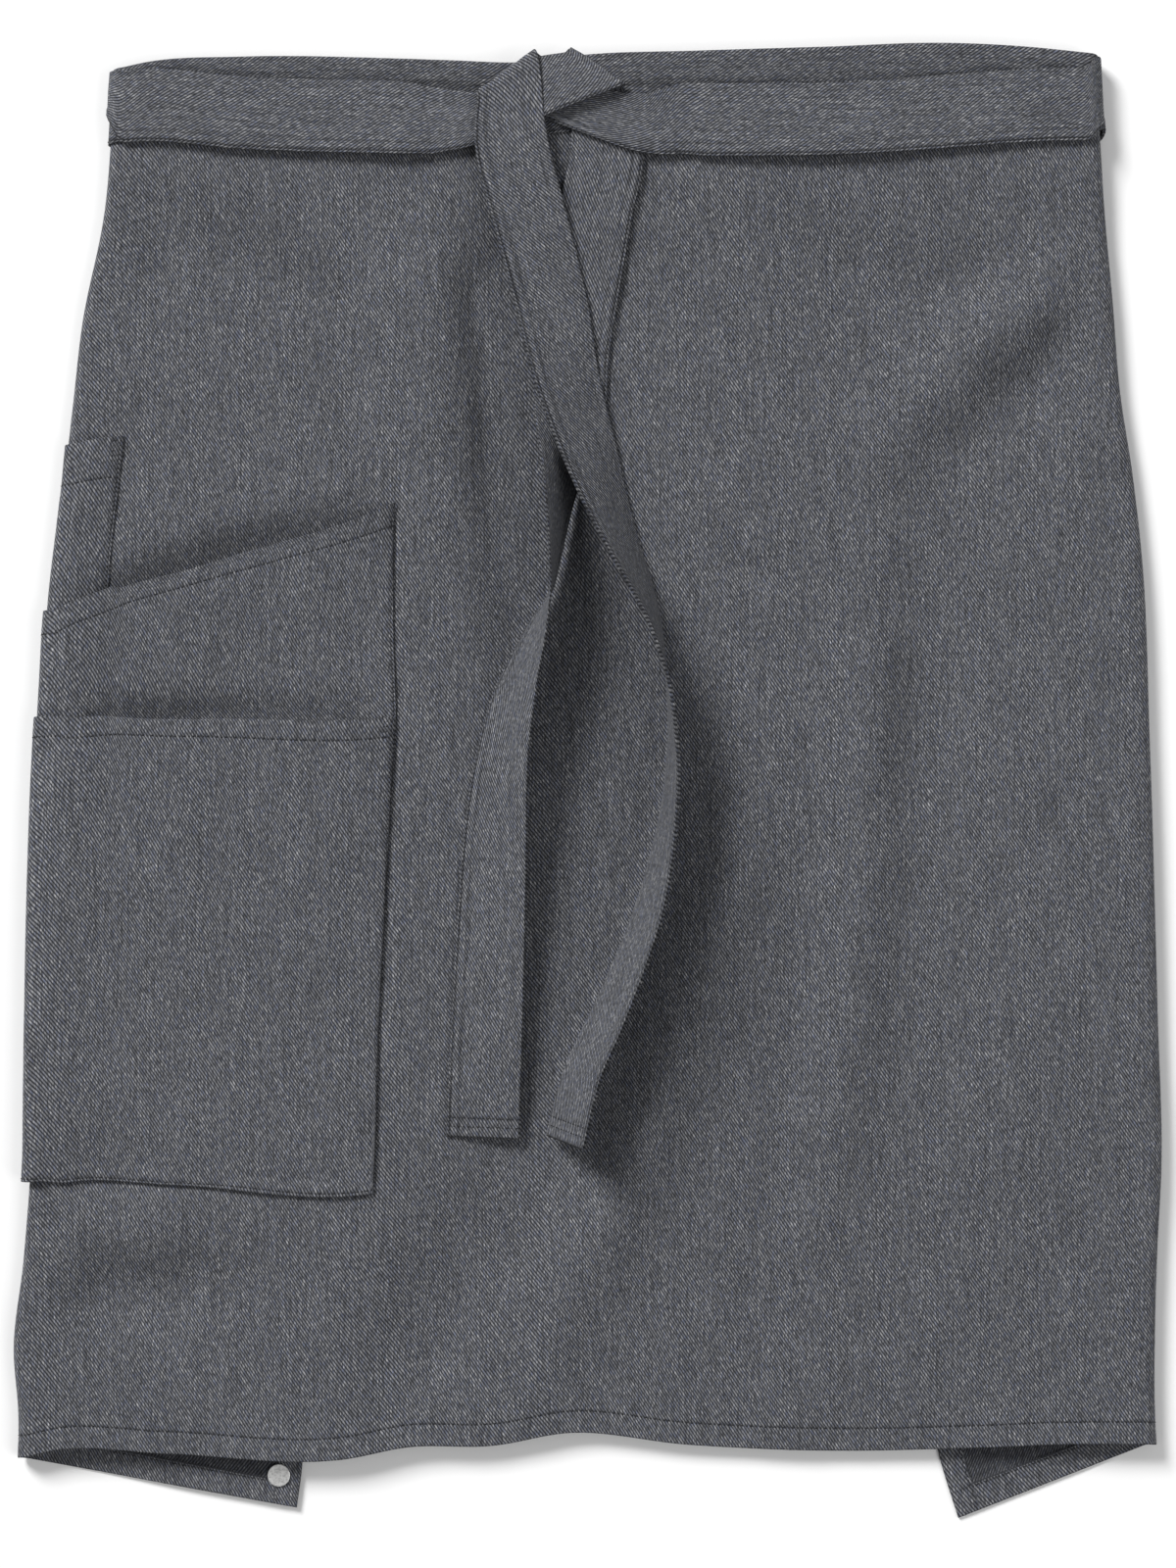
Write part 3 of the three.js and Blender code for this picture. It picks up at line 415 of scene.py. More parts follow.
def thread_coordinates(place, down):
    """Where a place lies in the flat cloth, in millimetres: along the weft and along the warp."""
    place, down = np.broadcast_arrays(np.asarray(place, float), np.asarray(down, float))
    left_radius, right_radius = turn_at(down, -1)[0], turn_at(down, 1)[0]
    left, right = left_side(down) + left_radius, right_side(down) - right_radius
    left_end, right_end = left - math.pi * left_radius, right + math.pi * right_radius
    across = by_zone(
        place, left_end - (1 - place) * (flap_reach(down, -1) - left_radius),
        left - (2 - place) * math.pi * left_radius, lerp(left, right, place - 2),
        right + (place - 3) * math.pi * right_radius,
        right_end + (place - 4) * (flap_reach(down, 1) - right_radius))
    return np.stack([across, waist_line - down * skirt.length], -1)


# Meshes.
def make_mesh(name, vertices, faces, material):
    mesh = bpy.data.meshes.new(name)
    mesh.from_pydata((np.asarray(vertices) * METRE).tolist(), [], faces)
    mesh.materials.append(material)
    piece = bpy.data.objects.new(name, mesh)
    bpy.context.scene.collection.objects.link(piece)
    mesh.polygons.foreach_set("use_smooth", [True] * len(mesh.polygons))
    return piece


def quads(index):
    corners = index[:-1, :-1], index[1:, :-1], index[1:, 1:], index[:-1, 1:]
    return np.stack([corner.ravel() for corner in corners], -1)


def cloth_shell(name, outer, inner, outer_uv, inner_uv, material, inner_material=None, painted_seam_shade=0):
    """A closed sheet between two grids of points that meet along all four edges. The last argument is
    painted shade: 1 in the pressed creases along each seam and edge and 0 away from them; it is kept as a
    point attribute that darkens the twill."""
    rows, columns = outer.shape[:2]
    outer_index = np.arange(rows * columns).reshape(rows, columns)
    inner_index = outer_index.copy()
    inside = (rows - 2) * (columns - 2)
    inner_index[1:-1, 1:-1] = rows * columns + np.arange(inside).reshape(rows - 2, columns - 2)
    vertices = np.concatenate([outer.reshape(-1, 3), inner[1:-1, 1:-1].reshape(-1, 3)])
    vertices[:, 2] = np.maximum(vertices[:, 2], floor_gap)
    outer_faces, inner_faces = quads(outer_index), quads(inner_index)[:, ::-1]
    piece = make_mesh(name, vertices, np.concatenate([outer_faces, inner_faces]).tolist(), material)
    mesh = piece.data
    uv_map = mesh.uv_layers.new(name="cloth")
    outer_flat = outer_uv.reshape(-1, 2)[outer_faces.ravel()]
    inner_flat = inner_uv.reshape(-1, 2)[outer_faces[:, ::-1].ravel()]
    uv_map.data.foreach_set("uv", (np.concatenate([outer_flat, inner_flat]) * METRE).ravel())
    painted_crease_shade = np.broadcast_to(np.asarray(painted_seam_shade, float), (rows, columns))
    painted_crease_shade = np.concatenate([painted_crease_shade.ravel(), painted_crease_shade[1:-1, 1:-1].ravel()])
    mesh.attributes.new("painted_crease_shade", "FLOAT", "POINT").data.foreach_set("value", painted_crease_shade)
    if inner_material:
        mesh.materials.append(inner_material)
        slots = np.concatenate([np.zeros(len(outer_faces), int), np.ones(len(inner_faces), int)])
        mesh.polygons.foreach_set("material_index", slots)
    mesh.update()
    return piece


def edge_round(inset, wall):
    """Share of a wall's thickness at a distance from its rounded edge."""
    return np.sqrt(np.clip(1 - (1 - np.clip(inset / (wall * 0.5), 0, 1)) ** 2, 0, 1))


edge_insets = np.array([0, 0.06, 0.2, 0.4, 0.9])


def stitch_dent(distance):
    return bump(distance, 0, 0.6)


# Painted shade along a cloth edge: darkest on the fold and gone 0.9 mm in.
def edge_painted_shade(distance):
    return 0.75 * (1 - smoothstep(distance, 0.1, 0.9))


# Twill, thread and metal.
def new_material(name):
    material = bpy.data.materials.new(name)
    material.use_nodes = True
    return material, material.node_tree, material.node_tree.nodes["Principled BSDF"]


def node_value(tree, socket, value):
    if isinstance(value, bpy.types.NodeSocket):
        tree.links.new(value, socket)
    else:
        socket.default_value = value


def fill_inputs(tree, node, values):
    """Links or sets a node's inputs by name."""
    for name, value in values.items():
        node_value(tree, node.inputs[name], value)


def calculate(tree, operation, *values):
    node = tree.nodes.new("ShaderNodeMath")
    node.operation = operation
    for socket, value in zip(node.inputs, values):
        node_value(tree, socket, value)
    return node.outputs[0]


def mix_colours(tree, factor, first, second, blend="MIX"):
    node = tree.nodes.new("ShaderNodeMix")
    node.data_type = "RGBA"
    node.blend_type = blend
    node_value(tree, node.inputs["Factor"], factor)
    node_value(tree, node.inputs["A"], first)
    node_value(tree, node.inputs["B"], second)
    return next(output for output in node.outputs if output.type == "RGBA" and output.enabled)


def colour_ramp(tree, factor, stops, interpolation="LINEAR"):
    node = tree.nodes.new("ShaderNodeValToRGB")
    node.color_ramp.interpolation = interpolation
    while len(node.color_ramp.elements) < len(stops):
        node.color_ramp.elements.new(0.5)
    for element, (position, colour) in zip(node.color_ramp.elements, stops):
        element.position = position
        element.color = (*colour, 1)
    tree.links.new(factor, node.inputs["Fac"])
    return node.outputs["Color"]


def stretched_noise(tree, vector, scale, detail, roughness=0.6):
    mapping = tree.nodes.new("ShaderNodeMapping")
    fill_inputs(tree, mapping, {"Scale": (*scale, 1), "Vector": vector})
    noise = tree.nodes.new("ShaderNodeTexNoise")
    noise.noise_dimensions = "2D"
    fill_inputs(tree, noise, {"Scale": 1, "Detail": detail, "Roughness": roughness,
                              "Vector": mapping.outputs["Vector"]})
    return noise.outputs["Fac"]


def fine_mottling(tree, detail, stops):
    """Fine noise through a solid, and its colours."""
    position = tree.nodes.new("ShaderNodeTexCoord")
    noise = tree.nodes.new("ShaderNodeTexNoise")
    fill_inputs(tree, noise, {"Scale": 900, "Detail": detail, "Vector": position.outputs["Object"]})
    return noise.outputs["Fac"], colour_ramp(tree, noise.outputs["Fac"], stops)


def add_bump(tree, shader, height, strength, distance):
    relief = tree.nodes.new("ShaderNodeBump")
    fill_inputs(tree, relief, {"Strength": strength, "Distance": distance, "Height": height})
    tree.links.new(relief.outputs["Normal"], shader.inputs["Normal"])


# Warp pitch, length of the twill's repeat along the warp, and the share of it that a yarn lies on top.
yarn = Sizes(warp=0.45, repeat=2.56, floats=0.75)
weft_colour = (0.021, 0.022, 0.027, 1)
fibre_colours = [
    (0.0, (0.13, 0.133, 0.145)), (0.3, (0.19, 0.194, 0.208)), (0.5, (0.17, 0.188, 0.255)),
    (0.62, (0.24, 0.244, 0.26)), (0.9, (0.3, 0.304, 0.32)), (1.0, (0.44, 0.44, 0.45))]
# Uneven shades of the cloth: scale across and along the warp, detail, roughness, strength and level.
cloth_shades = [
    ((900, 26), 2, 0.6, 1.1, 0.45), ((850, 300), 2, 0.6, 1.6, 0.2), ((95, 40), 3, 0.55, 0.2, 0.9),
    ((30, 900), 2, 0.6, 0.16, 0.92)]


def twill_material(name, lightness, wrong_side=False):
    """Three-up, one-down twill of melange warp over a near black weft, on the cloth's own threads."""
    material, tree, shader = new_material(name)
    maths = partial(calculate, tree)
    uv_map = tree.nodes.new("ShaderNodeUVMap")
    uv_map.uv_map = "cloth"
    flat = uv_map.outputs["UV"]
    parts = tree.nodes.new("ShaderNodeSeparateXYZ")
    tree.links.new(flat, parts.inputs["Vector"])
    across, along = parts.outputs["X"], parts.outputs["Y"]

    # The yarn and the float that a point lies in, and how far through them.
    yarns = maths("DIVIDE", across, yarn.warp * METRE)
    number = maths("FLOOR", yarns)
    through_yarn = maths("SUBTRACT", yarns, number)
    repeats = maths("MULTIPLY_ADD", along, 1 / (yarn.repeat * METRE), maths("MULTIPLY", number, 0.25))
    float_number = maths("FLOOR", repeats)
    through_float = maths("SUBTRACT", repeats, float_number)

    # The diagonal wales, and the rounded floats on them.
    visible = 1 - yarn.floats if wrong_side else yarn.floats
    turn = 2 * math.pi
    phase = maths("MULTIPLY_ADD", along, turn / (yarn.repeat * METRE),
                  maths("MULTIPLY_ADD", yarns, turn / 4, -turn * (0.125 + visible / 2)))
    wale = maths("MULTIPLY_ADD", maths("COSINE", phase), 0.5, 0.5)
    middle = maths("MULTIPLY_ADD", through_float, 2 / visible, -1.0)
    length_round = maths("SUBTRACT", 1.0, maths("POWER", maths("ABSOLUTE", middle), 3.0))
    centre = maths("MULTIPLY_ADD", through_yarn, 2.0, -1.0)
    width_round = maths("SUBTRACT", 1.0, maths("MULTIPLY", centre, centre))
    height = maths("MULTIPLY", maths("LESS_THAN", through_float, visible),
                   maths("MULTIPLY", maths("MAXIMUM", length_round, 0.0), width_round))

    # Each float has a colour of its own, over the dark weft.
    cell = tree.nodes.new("ShaderNodeCombineXYZ")
    fill_inputs(tree, cell, {"X": number, "Y": float_number})
    random_float = tree.nodes.new("ShaderNodeTexWhiteNoise")
    random_float.noise_dimensions = "2D"
    tree.links.new(cell.outputs["Vector"], random_float.inputs["Vector"])
    fibre = colour_ramp(tree, random_float.outputs["Value"], fibre_colours)
    # The weft shows dark between the wales as its own colour; the darkening towards the rounded sides and
    # ends of each float is painted shade.
    fibre_share_and_yarn_shade = maths("MULTIPLY", maths("MULTIPLY_ADD", height, 0.35, 0.7), wale)
    # On the wrong side the warp shows less, as the twill's back does, and the floats are darkened further
    # with painted shade.
    if wrong_side:
        fibre_share_and_yarn_shade = maths("MULTIPLY", fibre_share_and_yarn_shade, 0.55)
    woven = mix_colours(tree, fibre_share_and_yarn_shade, weft_colour, fibre)

    # Painted shade in the stitch dents, in the seam creases and along the edges darkens the colour by up to
    # 60 percent.
    painted_crease_shade = tree.nodes.new("ShaderNodeAttribute")
    painted_crease_shade.attribute_name = "painted_crease_shade"
    shade = maths("MULTIPLY_ADD", painted_crease_shade.outputs["Fac"], -0.6 * lightness, lightness)
    for scale, detail, roughness, strength, level in cloth_shades:
        noise = stretched_noise(tree, flat, scale, detail, roughness)
        shade = maths("MULTIPLY", shade, maths("MULTIPLY_ADD", noise, strength, level))
    tint = tree.nodes.new("ShaderNodeCombineColor")
    fill_inputs(tree, tint, {"Red": shade, "Green": shade, "Blue": shade})
    fill_inputs(tree, shader, {
        "Base Color": mix_colours(tree, 1.0, woven, tint.outputs["Color"], "MULTIPLY"),
        "Roughness": 0.88, "Specular IOR Level": 0.15, "Sheen Weight": 0.06, "Sheen Roughness": 0.45})

    uneven = stretched_noise(tree, flat, (75, 45), 2, 0.5)
    relief = maths("MULTIPLY_ADD", uneven, 0.3 * METRE, maths("MULTIPLY", wale, 0.15 * METRE))
    add_bump(tree, shader, relief, 0.7, 1.0)
    return material


def thread_material():
    material, tree, shader = new_material("sewing_thread")
    _, colour = fine_mottling(tree, 2, [(0.35, (0.006, 0.006, 0.008)), (0.7, (0.02, 0.021, 0.026))])
    fill_inputs(tree, shader, {"Base Color": colour, "Roughness": 0.6})
    return material


def metal_material():
    """Satin nickel with faint mottling."""
    material, tree, shader = new_material("stud_nickel")
    noise, colour = fine_mottling(tree, 4, [
        (0.3, (0.62, 0.62, 0.61)), (0.5, (0.84, 0.84, 0.83)), (0.75, (0.93, 0.93, 0.92))])
    rough = calculate(tree, "MULTIPLY_ADD", noise, 0.25, 0.28)
    fill_inputs(tree, shader, {"Base Color": colour, "Roughness": rough, "Metallic": 0.85})
    add_bump(tree, shader, noise, 0.35, 0.1 * METRE)
    return material


skirt_twill = twill_material("skirt_twill", 0.85)
# The wrong side is darker partly from its weft-faced weave and partly from painted shade of the inner faces
# that lie turned under.
skirt_wrong_side_and_shade = twill_material("skirt_twill_wrong_side_and_shade", 0.78, wrong_side=True)
pocket_twill = twill_material("pocket_twill", 0.87)
band_twill = twill_material("band_twill", 0.75)
tie_twill = twill_material("tie_twill", 0.87)
seam_thread = thread_material()
stud_nickel = metal_material()


# Stitches: one is modelled, and its copies follow the seams.
def model_stitch():
    bpy.ops.object.select_all(action="DESELECT")
    bpy.ops.mesh.primitive_cylinder_add(vertices=5, radius=1, depth=1, end_fill_type="TRIFAN",
                                        rotation=(0, math.pi / 2, 0))
    stitch = bpy.context.object
    bpy.ops.object.transform_apply(location=True, rotation=True, scale=True)
    points = np.array([vertex.co for vertex in stitch.data.vertices])
    faces = [list(face.vertices) for face in stitch.data.polygons]
    bpy.data.objects.remove(stitch)
    caps = np.isclose(np.hypot(points[:, 1], points[:, 2]), 0)
    points[:, 0] = np.where(caps, np.sign(points[:, 0]) * 0.5, np.sign(points[:, 0]) * 0.28)
    return points, faces


stitch_points, stitch_faces = model_stitch()


def stitches(name, lines):
    """Copies of the stitch along lines, each a list of points and the outward normals there. Their
    ends dip into the cloth, and none sinks into the floor."""
    vertices, faces = [], []
    for points, normals in lines:
        normals = unit(normals)
        along = distances(points)
        count = int(along[-1] / thread.step)
        for place in (np.arange(count) + 0.5) * along[-1] / max(count, 1):
            start, end, normal = (
                np.array([np.interp(place + shift, along, column) for column in values.T])
                for values, shift in ((points, -0.4), (points, 0.4), (normals, 0)))
            normal, forward = unit(normal), unit(end - start)
            stitch = ((start + end) / 2 + normal * thread.raised
                      + stitch_points[:, :1] * thread.length * forward
                      + stitch_points[:, 1:2] * thread.half_width * np.cross(normal, forward)
                      + stitch_points[:, 2:] * thread.radius * normal
                      - normal * (np.abs(stitch_points[:, :1]) > 0.4) * thread.dip)
            stitch[:, 2] += max(floor_gap - stitch[:, 2].min(), 0)
            first = len(vertices) * len(stitch_points)
            vertices.append(stitch)
            faces.extend([[corner + first for corner in face] for face in stitch_faces])
    return make_mesh(name, np.concatenate(vertices), faces, seam_thread)


# The skirt.
def puckers(distance, along, seed):
    """Small drawn-in waves of the cloth beside a seam."""
    return soft_noise(along, distance * 0.3, 6.5, seed) * bump(distance, 0, 7) * 0.28


def near(distance, *steps):
    """Grid lines beside and on a stitched line."""
    return [distance - steps[0], distance, *(distance + step for step in steps)]


fold_steps = np.linspace(0, 1, 13)
hem_seed, left_seed, right_seed = 11, 12, 13


def places_round(left_insets, right_insets, left_count, front_step):
    """Places round the skirt from flap edge to flap edge, close together beside both edges."""
    return np.concatenate([
        left_insets, np.linspace(left_insets[-1], 1, left_count)[1:-1], 1 + fold_steps,
        spread_evenly(2, 3, front_step)[1:-1], 3 + fold_steps,
        np.linspace(4, 5 - right_insets[-1], 12)[1:-1], (5 - right_insets)[::-1]])


def skirt_grid():
    hem = np.array([*edge_insets, 3, 6.5, 9.5, 11.6, *near(twill.hem, 0.45), 13.6, twill.hem_turn,
                    twill.hem_turn + 0.25, 16.5])
    top = edge_insets / skirt.length
    rows = np.concatenate([top, spread_evenly(top[-1], 1 - hem[-1] / skirt.length, 4.2 / skirt.length)[1:-1],
                           (1 - hem / skirt.length)[::-1]])
    places = np.array([places_round(hem / flap_reach(row, -1), hem / flap_reach(row, 1), left_count=15,
                                    front_step=4.1 / 590) for row in rows])
    return places, rows[:, None] * np.ones(places.shape[1])


def build_skirt():
    place, down = skirt_grid()
    from_top, from_hem = down * skirt.length, (1 - down) * skirt.length
    from_left = np.where(place <= 1, place * flap_reach(down, -1), far)
    from_right = np.where(place >= 4, (5 - place) * flap_reach(down, 1), far)
    normal, flat = cloth_normal(place, down), thread_coordinates(place, down)
    wall = twill.wall
    rounded = edge_round(from_top, wall)
    lift, turned, dent = np.zeros((3, *place.shape))
    for distance, along, seed in ((from_hem, flat[..., 0], hem_seed), (from_left, flat[..., 1], left_seed),
                                  (from_right, flat[..., 1], right_seed)):
        lift = lift + puckers(distance - twill.hem, along, seed)
        rounded = rounded * edge_round(distance, wall)
        turned = np.maximum(turned, 1 - smoothstep(distance, twill.hem_turn, twill.hem_turn + 0.2))
        dent = np.maximum(dent, stitch_dent(distance - twill.hem))
    middle = cloth_point(place, down) + normal * (lift * smoothstep(from_top, 20, 60))[..., None]
    outward = rounded * (wall / 2 - dent_depth.skirt * dent)
    inward = rounded * (wall / 2 + wall * turned * (1 - 0.3 * dent))
    side_hem = np.minimum(from_left, from_right) < twill.hem_turn
    bottom_hem = (from_hem < twill.hem_turn) & ~side_hem
    folded = flat * np.stack([np.where(side_hem, -1, 1), np.where(bottom_hem, -1, 1)], -1)
    nearest = np.minimum(np.minimum(from_hem, from_left), from_right)
    # Painted shade in the hem's stitch dents and along the skirt's edges.
    painted_seam_shade = np.maximum(0.5 * dent, edge_painted_shade(nearest))
    piece = cloth_shell("skirt", middle + normal * outward[..., None], middle - normal * inward[..., None],
                        flat, folded, skirt_twill, skirt_wrong_side_and_shade, painted_seam_shade)
    hems = (side_hem | bottom_hem)[:-1, :-1] & (side_hem | bottom_hem)[1:, 1:]
    slots = np.concatenate([np.zeros(hems.size, int), np.where(hems.ravel(), 0, 1)])
    piece.data.polygons.foreach_set("material_index", slots)
    return piece


def skirt_line(place, down, offset, seed):
    """A stitched line on the skirt's skin: on the outside where offset is above zero."""
    place, down = np.broadcast_arrays(np.asarray(place, float), np.asarray(down, float))
    normal = cloth_normal(place, down)
    along = thread_coordinates(place, down)[:, 0 if seed == hem_seed else 1]
    wave = puckers(np.zeros(len(along)), along, seed) * smoothstep(down * skirt.length, 20, 60)
    return cloth_point(place, down) + normal * (offset + wave)[:, None], normal * np.sign(offset)


def build_hem_stitches():
    hem_down = 1 - twill.hem / skirt.length
    outside, inside = twill.wall / 2 - 0.14, -(twill.wall * 1.5 - 0.25)
    left_start = twill.hem / float(flap_reach(hem_down, -1))
    right_end = 5 - twill.hem / float(flap_reach(hem_down, 1))
    around = np.concatenate([[left_start], *(np.linspace(start, end, count)[1:] for start, end, count in (
        (left_start, 1, 60), (1, 2, 20), (2, 3, 300), (3, 4, 20), (4, right_end, 60)))])
    lines = [skirt_line(around, hem_down, outside, hem_seed)]
    for part in (around[around <= 1], around[around >= 4]):
        lines.append(skirt_line(part, hem_down, inside, hem_seed))
    rows = np.linspace(band_share, hem_down, 320)
    for place, seed in ((twill.hem / flap_reach(rows, -1), left_seed),
                        (5 - twill.hem / flap_reach(rows, 1), right_seed)):
        lines.extend(skirt_line(place, rows, offset, seed) for offset in (inside, outside))
    return stitches("hem_stitches", lines)


# The waistband: one strip folded over the skirt's top edge.
band_middle = band_offset + band.wall / 2


def build_band():
    """The waistband's rows run up its outer face, over the top edge and down its inner face."""
    places = places_round(edge_insets / skirt.left_flap, edge_insets / skirt.right_flap,
                          left_count=16, front_step=4.5 / skirt.waist)
    wall = 0.85
    insets = np.array([*edge_insets[:-1], 0.8, *near(twill.seam_inset, 0.4), 4])
    heights = np.concatenate([insets, np.linspace(4, band.height, 10)[1:]])
    on_places = np.ones(len(places))
    lying = thread_coordinates(places, 0 * on_places)[:, 0]
    sway = soft_noise(lying, 0, 26, 21) * 0.35
    sway = sway * smoothstep(places, 2.02, 2.1) * (1 - smoothstep(places, 2.9, 2.98))
    faces = {1: [], -1: []}
    for height in heights:
        down = (band.height - height) / skirt.length
        point, normal = cloth_point(places, down), cloth_normal(places, down * on_places)
        lift = (band_middle + sway * height / band.height)[:, None]
        faces[1].append((point + normal * lift, normal, height))
        flat = 2 * band.height + math.pi * band_middle - height
        faces[-1].append((point - normal * band_middle, -normal, flat))
    top_point, top_normal = cloth_point(places, 0), cloth_normal(places, 0 * on_places)
    upward = unit(top_point - cloth_point(places, 0.01))
    turn = []
    for angle in np.linspace(0, math.pi, 9)[1:-1]:
        normal = top_normal * math.cos(angle) + upward * math.sin(angle)
        swayed = top_normal * (sway * math.cos(angle) ** 2)[:, None]
        turn.append((top_point + normal * band_middle + swayed, normal, band.height + angle * band_middle))
    strip = faces[1] + turn + faces[-1][::-1]
    middle, normal, flat = (np.array(values) for values in zip(*strip))
    flat = flat[:, None]
    from_edge = np.minimum(flat, flat[-1] - flat)
    rounded = (edge_round(from_edge, wall) * edge_round(places * skirt.left_flap, wall)
               * edge_round((5 - places) * skirt.right_flap, wall))
    dent = stitch_dent(from_edge - twill.seam_inset)
    outer = middle + normal * (rounded * (wall / 2 - dent * dent_depth.band))[..., None]
    inner = middle - normal * (rounded * wall / 2)[..., None]
    uv = np.stack(np.broadcast_arrays(-flat, lying[None, :]), -1)
    # Painted shade in the band's stitch dents and along its edges, and a painted shadow along the line where
    # the belt's upper edge lies on the band's front face.
    belt_top = read_row(belt_rows, places, "down") * skirt.length - tie.width / 2
    painted_belt_shadow = bump(band.height - flat, belt_top, 2.6) * 0.75 * (flat < band.height)
    painted_seam_shade = np.maximum(dent, edge_painted_shade(from_edge))
    painted_seam_shade = np.maximum(painted_seam_shade, painted_belt_shadow * smoothstep(places, 2, 2.04) * (1 - smoothstep(places, 2.96, 3)))
    piece = cloth_shell("waistband_cloth", outer[::-1], inner[::-1], uv[::-1], uv[::-1], band_twill,
                        painted_seam_shade=painted_seam_shade[::-1])
    line_places = np.linspace(0.01, 4.99, 900)
    down = np.full(len(line_places), (band.height - twill.seam_inset) / skirt.length)
    line_point, line_normal = cloth_point(line_places, down), cloth_normal(line_places, down)
    offset = band_middle + wall / 2 - stitch_sink
    lines = [(line_point + line_normal * face * offset, line_normal * face) for face in (1, -1)]
    return piece, stitches("waistband_stitches", lines)


# The pockets.
pocket_skin = 0.45  # from the middle of a pocket's wall to its outer face
def front_place(distance, down):
    """The place on the front at a distance from the left fold's outer edge."""
    left_radius, right_radius = turn_at(down, -1)[0], turn_at(down, 1)[0]
    width = right_side(down) - left_side(down) - left_radius - right_radius
    return 2 + (distance - left_radius) / width


pocket_origin = 290  # the pockets' flat cloth starts this far left of the skirt's middle
pocket_turn = 5  # radius at which a pocket's left edge turns round the side fold
front_start = pocket.wrap + math.pi * pocket_turn  # where its front begins, from its left edge


def pocket_right(down):
    lean = smoothstep(down, large_mouth, pocket.bottom) * 0.028
    above = np.clip((large_mouth - down) * skirt.length / pocket.angled_short, 0, 1) * 0.055
    return pocket.width * (1 - lean - above)


def fold_level(share):
    """Keeps a pocket's edges straight where the cloth's rows sink into the left fold."""
    return -0.0055 * (1 - smoothstep(share, 0, 0.09))


pockets = {
    "large": Sizes(
        layer=2, slack=200, hem=11.5, node="pocket_large", seed=31, dip=6, stand=1, right=pocket_right,
        mouth=lambda share: large_mouth + fold_level(share),
        bottom=lambda share: pocket.bottom + 0.006 * share + fold_level(share)),
    "angled": Sizes(
        layer=1, slack=90, hem=13.5, node="pocket_angled", seed=32, dip=6, stand=0.9, right=pocket_right,
        mouth=lambda share: large_mouth - lerp(
            pocket.angled_long, pocket.angled_short, share) / skirt.length,
        bottom=lambda share: pocket.bottom - 0.004 + 0.006 * share + fold_level(share)),
    "pen": Sizes(
        layer=0, slack=110, hem=23, node="pocket_pen", seed=33, dip=1.5, stand=0.2,
        right=lambda down: pocket.pen_width + 0 * down, mouth=lambda share: pocket.pen_drop + 0 * share,
        bottom=lambda share: pocket.pen_drop + pocket.pen_depth / skirt.length + 0 * share),
}


def pocket_depth(shape, share):
    return (shape.bottom(share) - shape.mouth(share)) * skirt.length


def pocket_surface(shape, across, depth):
    """Place and height of a pocket's wall at distances across from its left edge on the back flap, and
    down from its mouth, both in millimetres."""
    guess = shape.mouth(np.zeros_like(across)) + depth / skirt.length
    on_front = np.clip((across - front_start) / (shape.right(guess) - pocket_turn), 0, 1)
    bottom = shape.bottom(on_front)
    down = np.minimum(shape.mouth(on_front) + depth / skirt.length, bottom)
    right = front_place(shape.right(down), down)
    place = np.where(across < pocket.wrap, 1 - (pocket.wrap - across) / flap_reach(down, -1), np.where(
        across < front_start, 1 + (across - pocket.wrap) / (front_start - pocket.wrap),
        lerp(2, right, on_front)))
    base = skirt.cloth / 2 + pocket.wall / 2 + pocket.clearance + shape.layer * pocket_layer
    belly = np.sin(np.pi * on_front) ** 0.4
    stand = pocket.mouth_stand * shape.stand * belly * (1 - smoothstep(depth, 0, shape.slack))
    lying = cloth_point(place, down)
    stand = stand + mouth_dip(shape, lying[..., 0], lying[..., 1])
    from_right = (1 - on_front) * shape.right(down)
    from_bottom = (bottom - down) * skirt.length
    beside_seam = np.maximum(bump(from_right, 0, 22), bump(from_bottom, 0, 22))
    sewn_height = 0.72 + 0.86 * shape.layer
    settle = (base - sewn_height) * beside_seam
    settle = settle * smoothstep(across, pocket.wrap + 14, pocket.wrap + 26)
    return place, down, base + stand - settle


def pocket_middle(shape, width, across, depth):
    """The middle of a pocket's wall with its puckers, its normals, its place in the flat cloth and its
    distances from the pocket's right and bottom edges."""
    share = np.clip((across - front_start) / (width - front_start), 0, 1)
    from_right, from_bottom = width - across, pocket_depth(shape, share) - depth
    place, down, height = pocket_surface(shape, across, depth)
    normal = cloth_normal(place, down)
    x, y = across - front_start - pocket_origin, -depth - shape.mouth(share) * skirt.length
    wave = puckers(depth - shape.hem, x, shape.seed)
    for distance, along, seed in ((from_right, y, shape.seed + 5), (from_bottom, x, shape.seed + 9)):
        wave = wave + puckers(distance - twill.seam_inset, along, seed) * 0.6
    wave = wave + soft_noise(x, y * 0.5, 30, shape.seed) * 0.35 * smoothstep(
        from_right, 4, 40) * smoothstep(from_bottom, 4, 40)
    middle = cloth_point(place, down) + normal * (height + wave)[..., None]
    return middle, normal, np.stack([x, y], -1), from_right, from_bottom


def pocket_grid(shape, width):
    """Distances across from a pocket's left edge and down from its mouth, close together at its edges."""
    lines = np.array([*edge_insets, *near(twill.seam_inset, 0.45), 4])
    across = np.concatenate([edge_insets[:-1], spread_evenly(1, pocket.wrap, 6),
                             np.linspace(pocket.wrap, front_start, 11)[1:],
                             spread_evenly(front_start, width - lines[-1], 3.6)[1:-1],
                             (width - lines)[::-1]])
    full = float(pocket_depth(shape, 0.0))
    hem = shape.hem
    mouth_lines = np.array([*edge_insets, 2.5, hem - 3, hem - 0.9, *near(hem, 0.4, 1, 1.6)])
    top, low = mouth_lines[-1], full - lines[-1]
    rows = np.concatenate([mouth_lines, spread_evenly(top, low, 3.8)[1:-1], (full - lines)[::-1]])
    across, rows = np.meshgrid(across, rows)
    local = pocket_depth(shape, np.clip((across - front_start) / (width - front_start), 0, 1))
    body = top + (rows - top) / (low - top) * (local - lines[-1] - top)
    depth = np.where(rows <= top, rows, np.where(rows <= low, body, local - (full - rows)))
    return across, depth


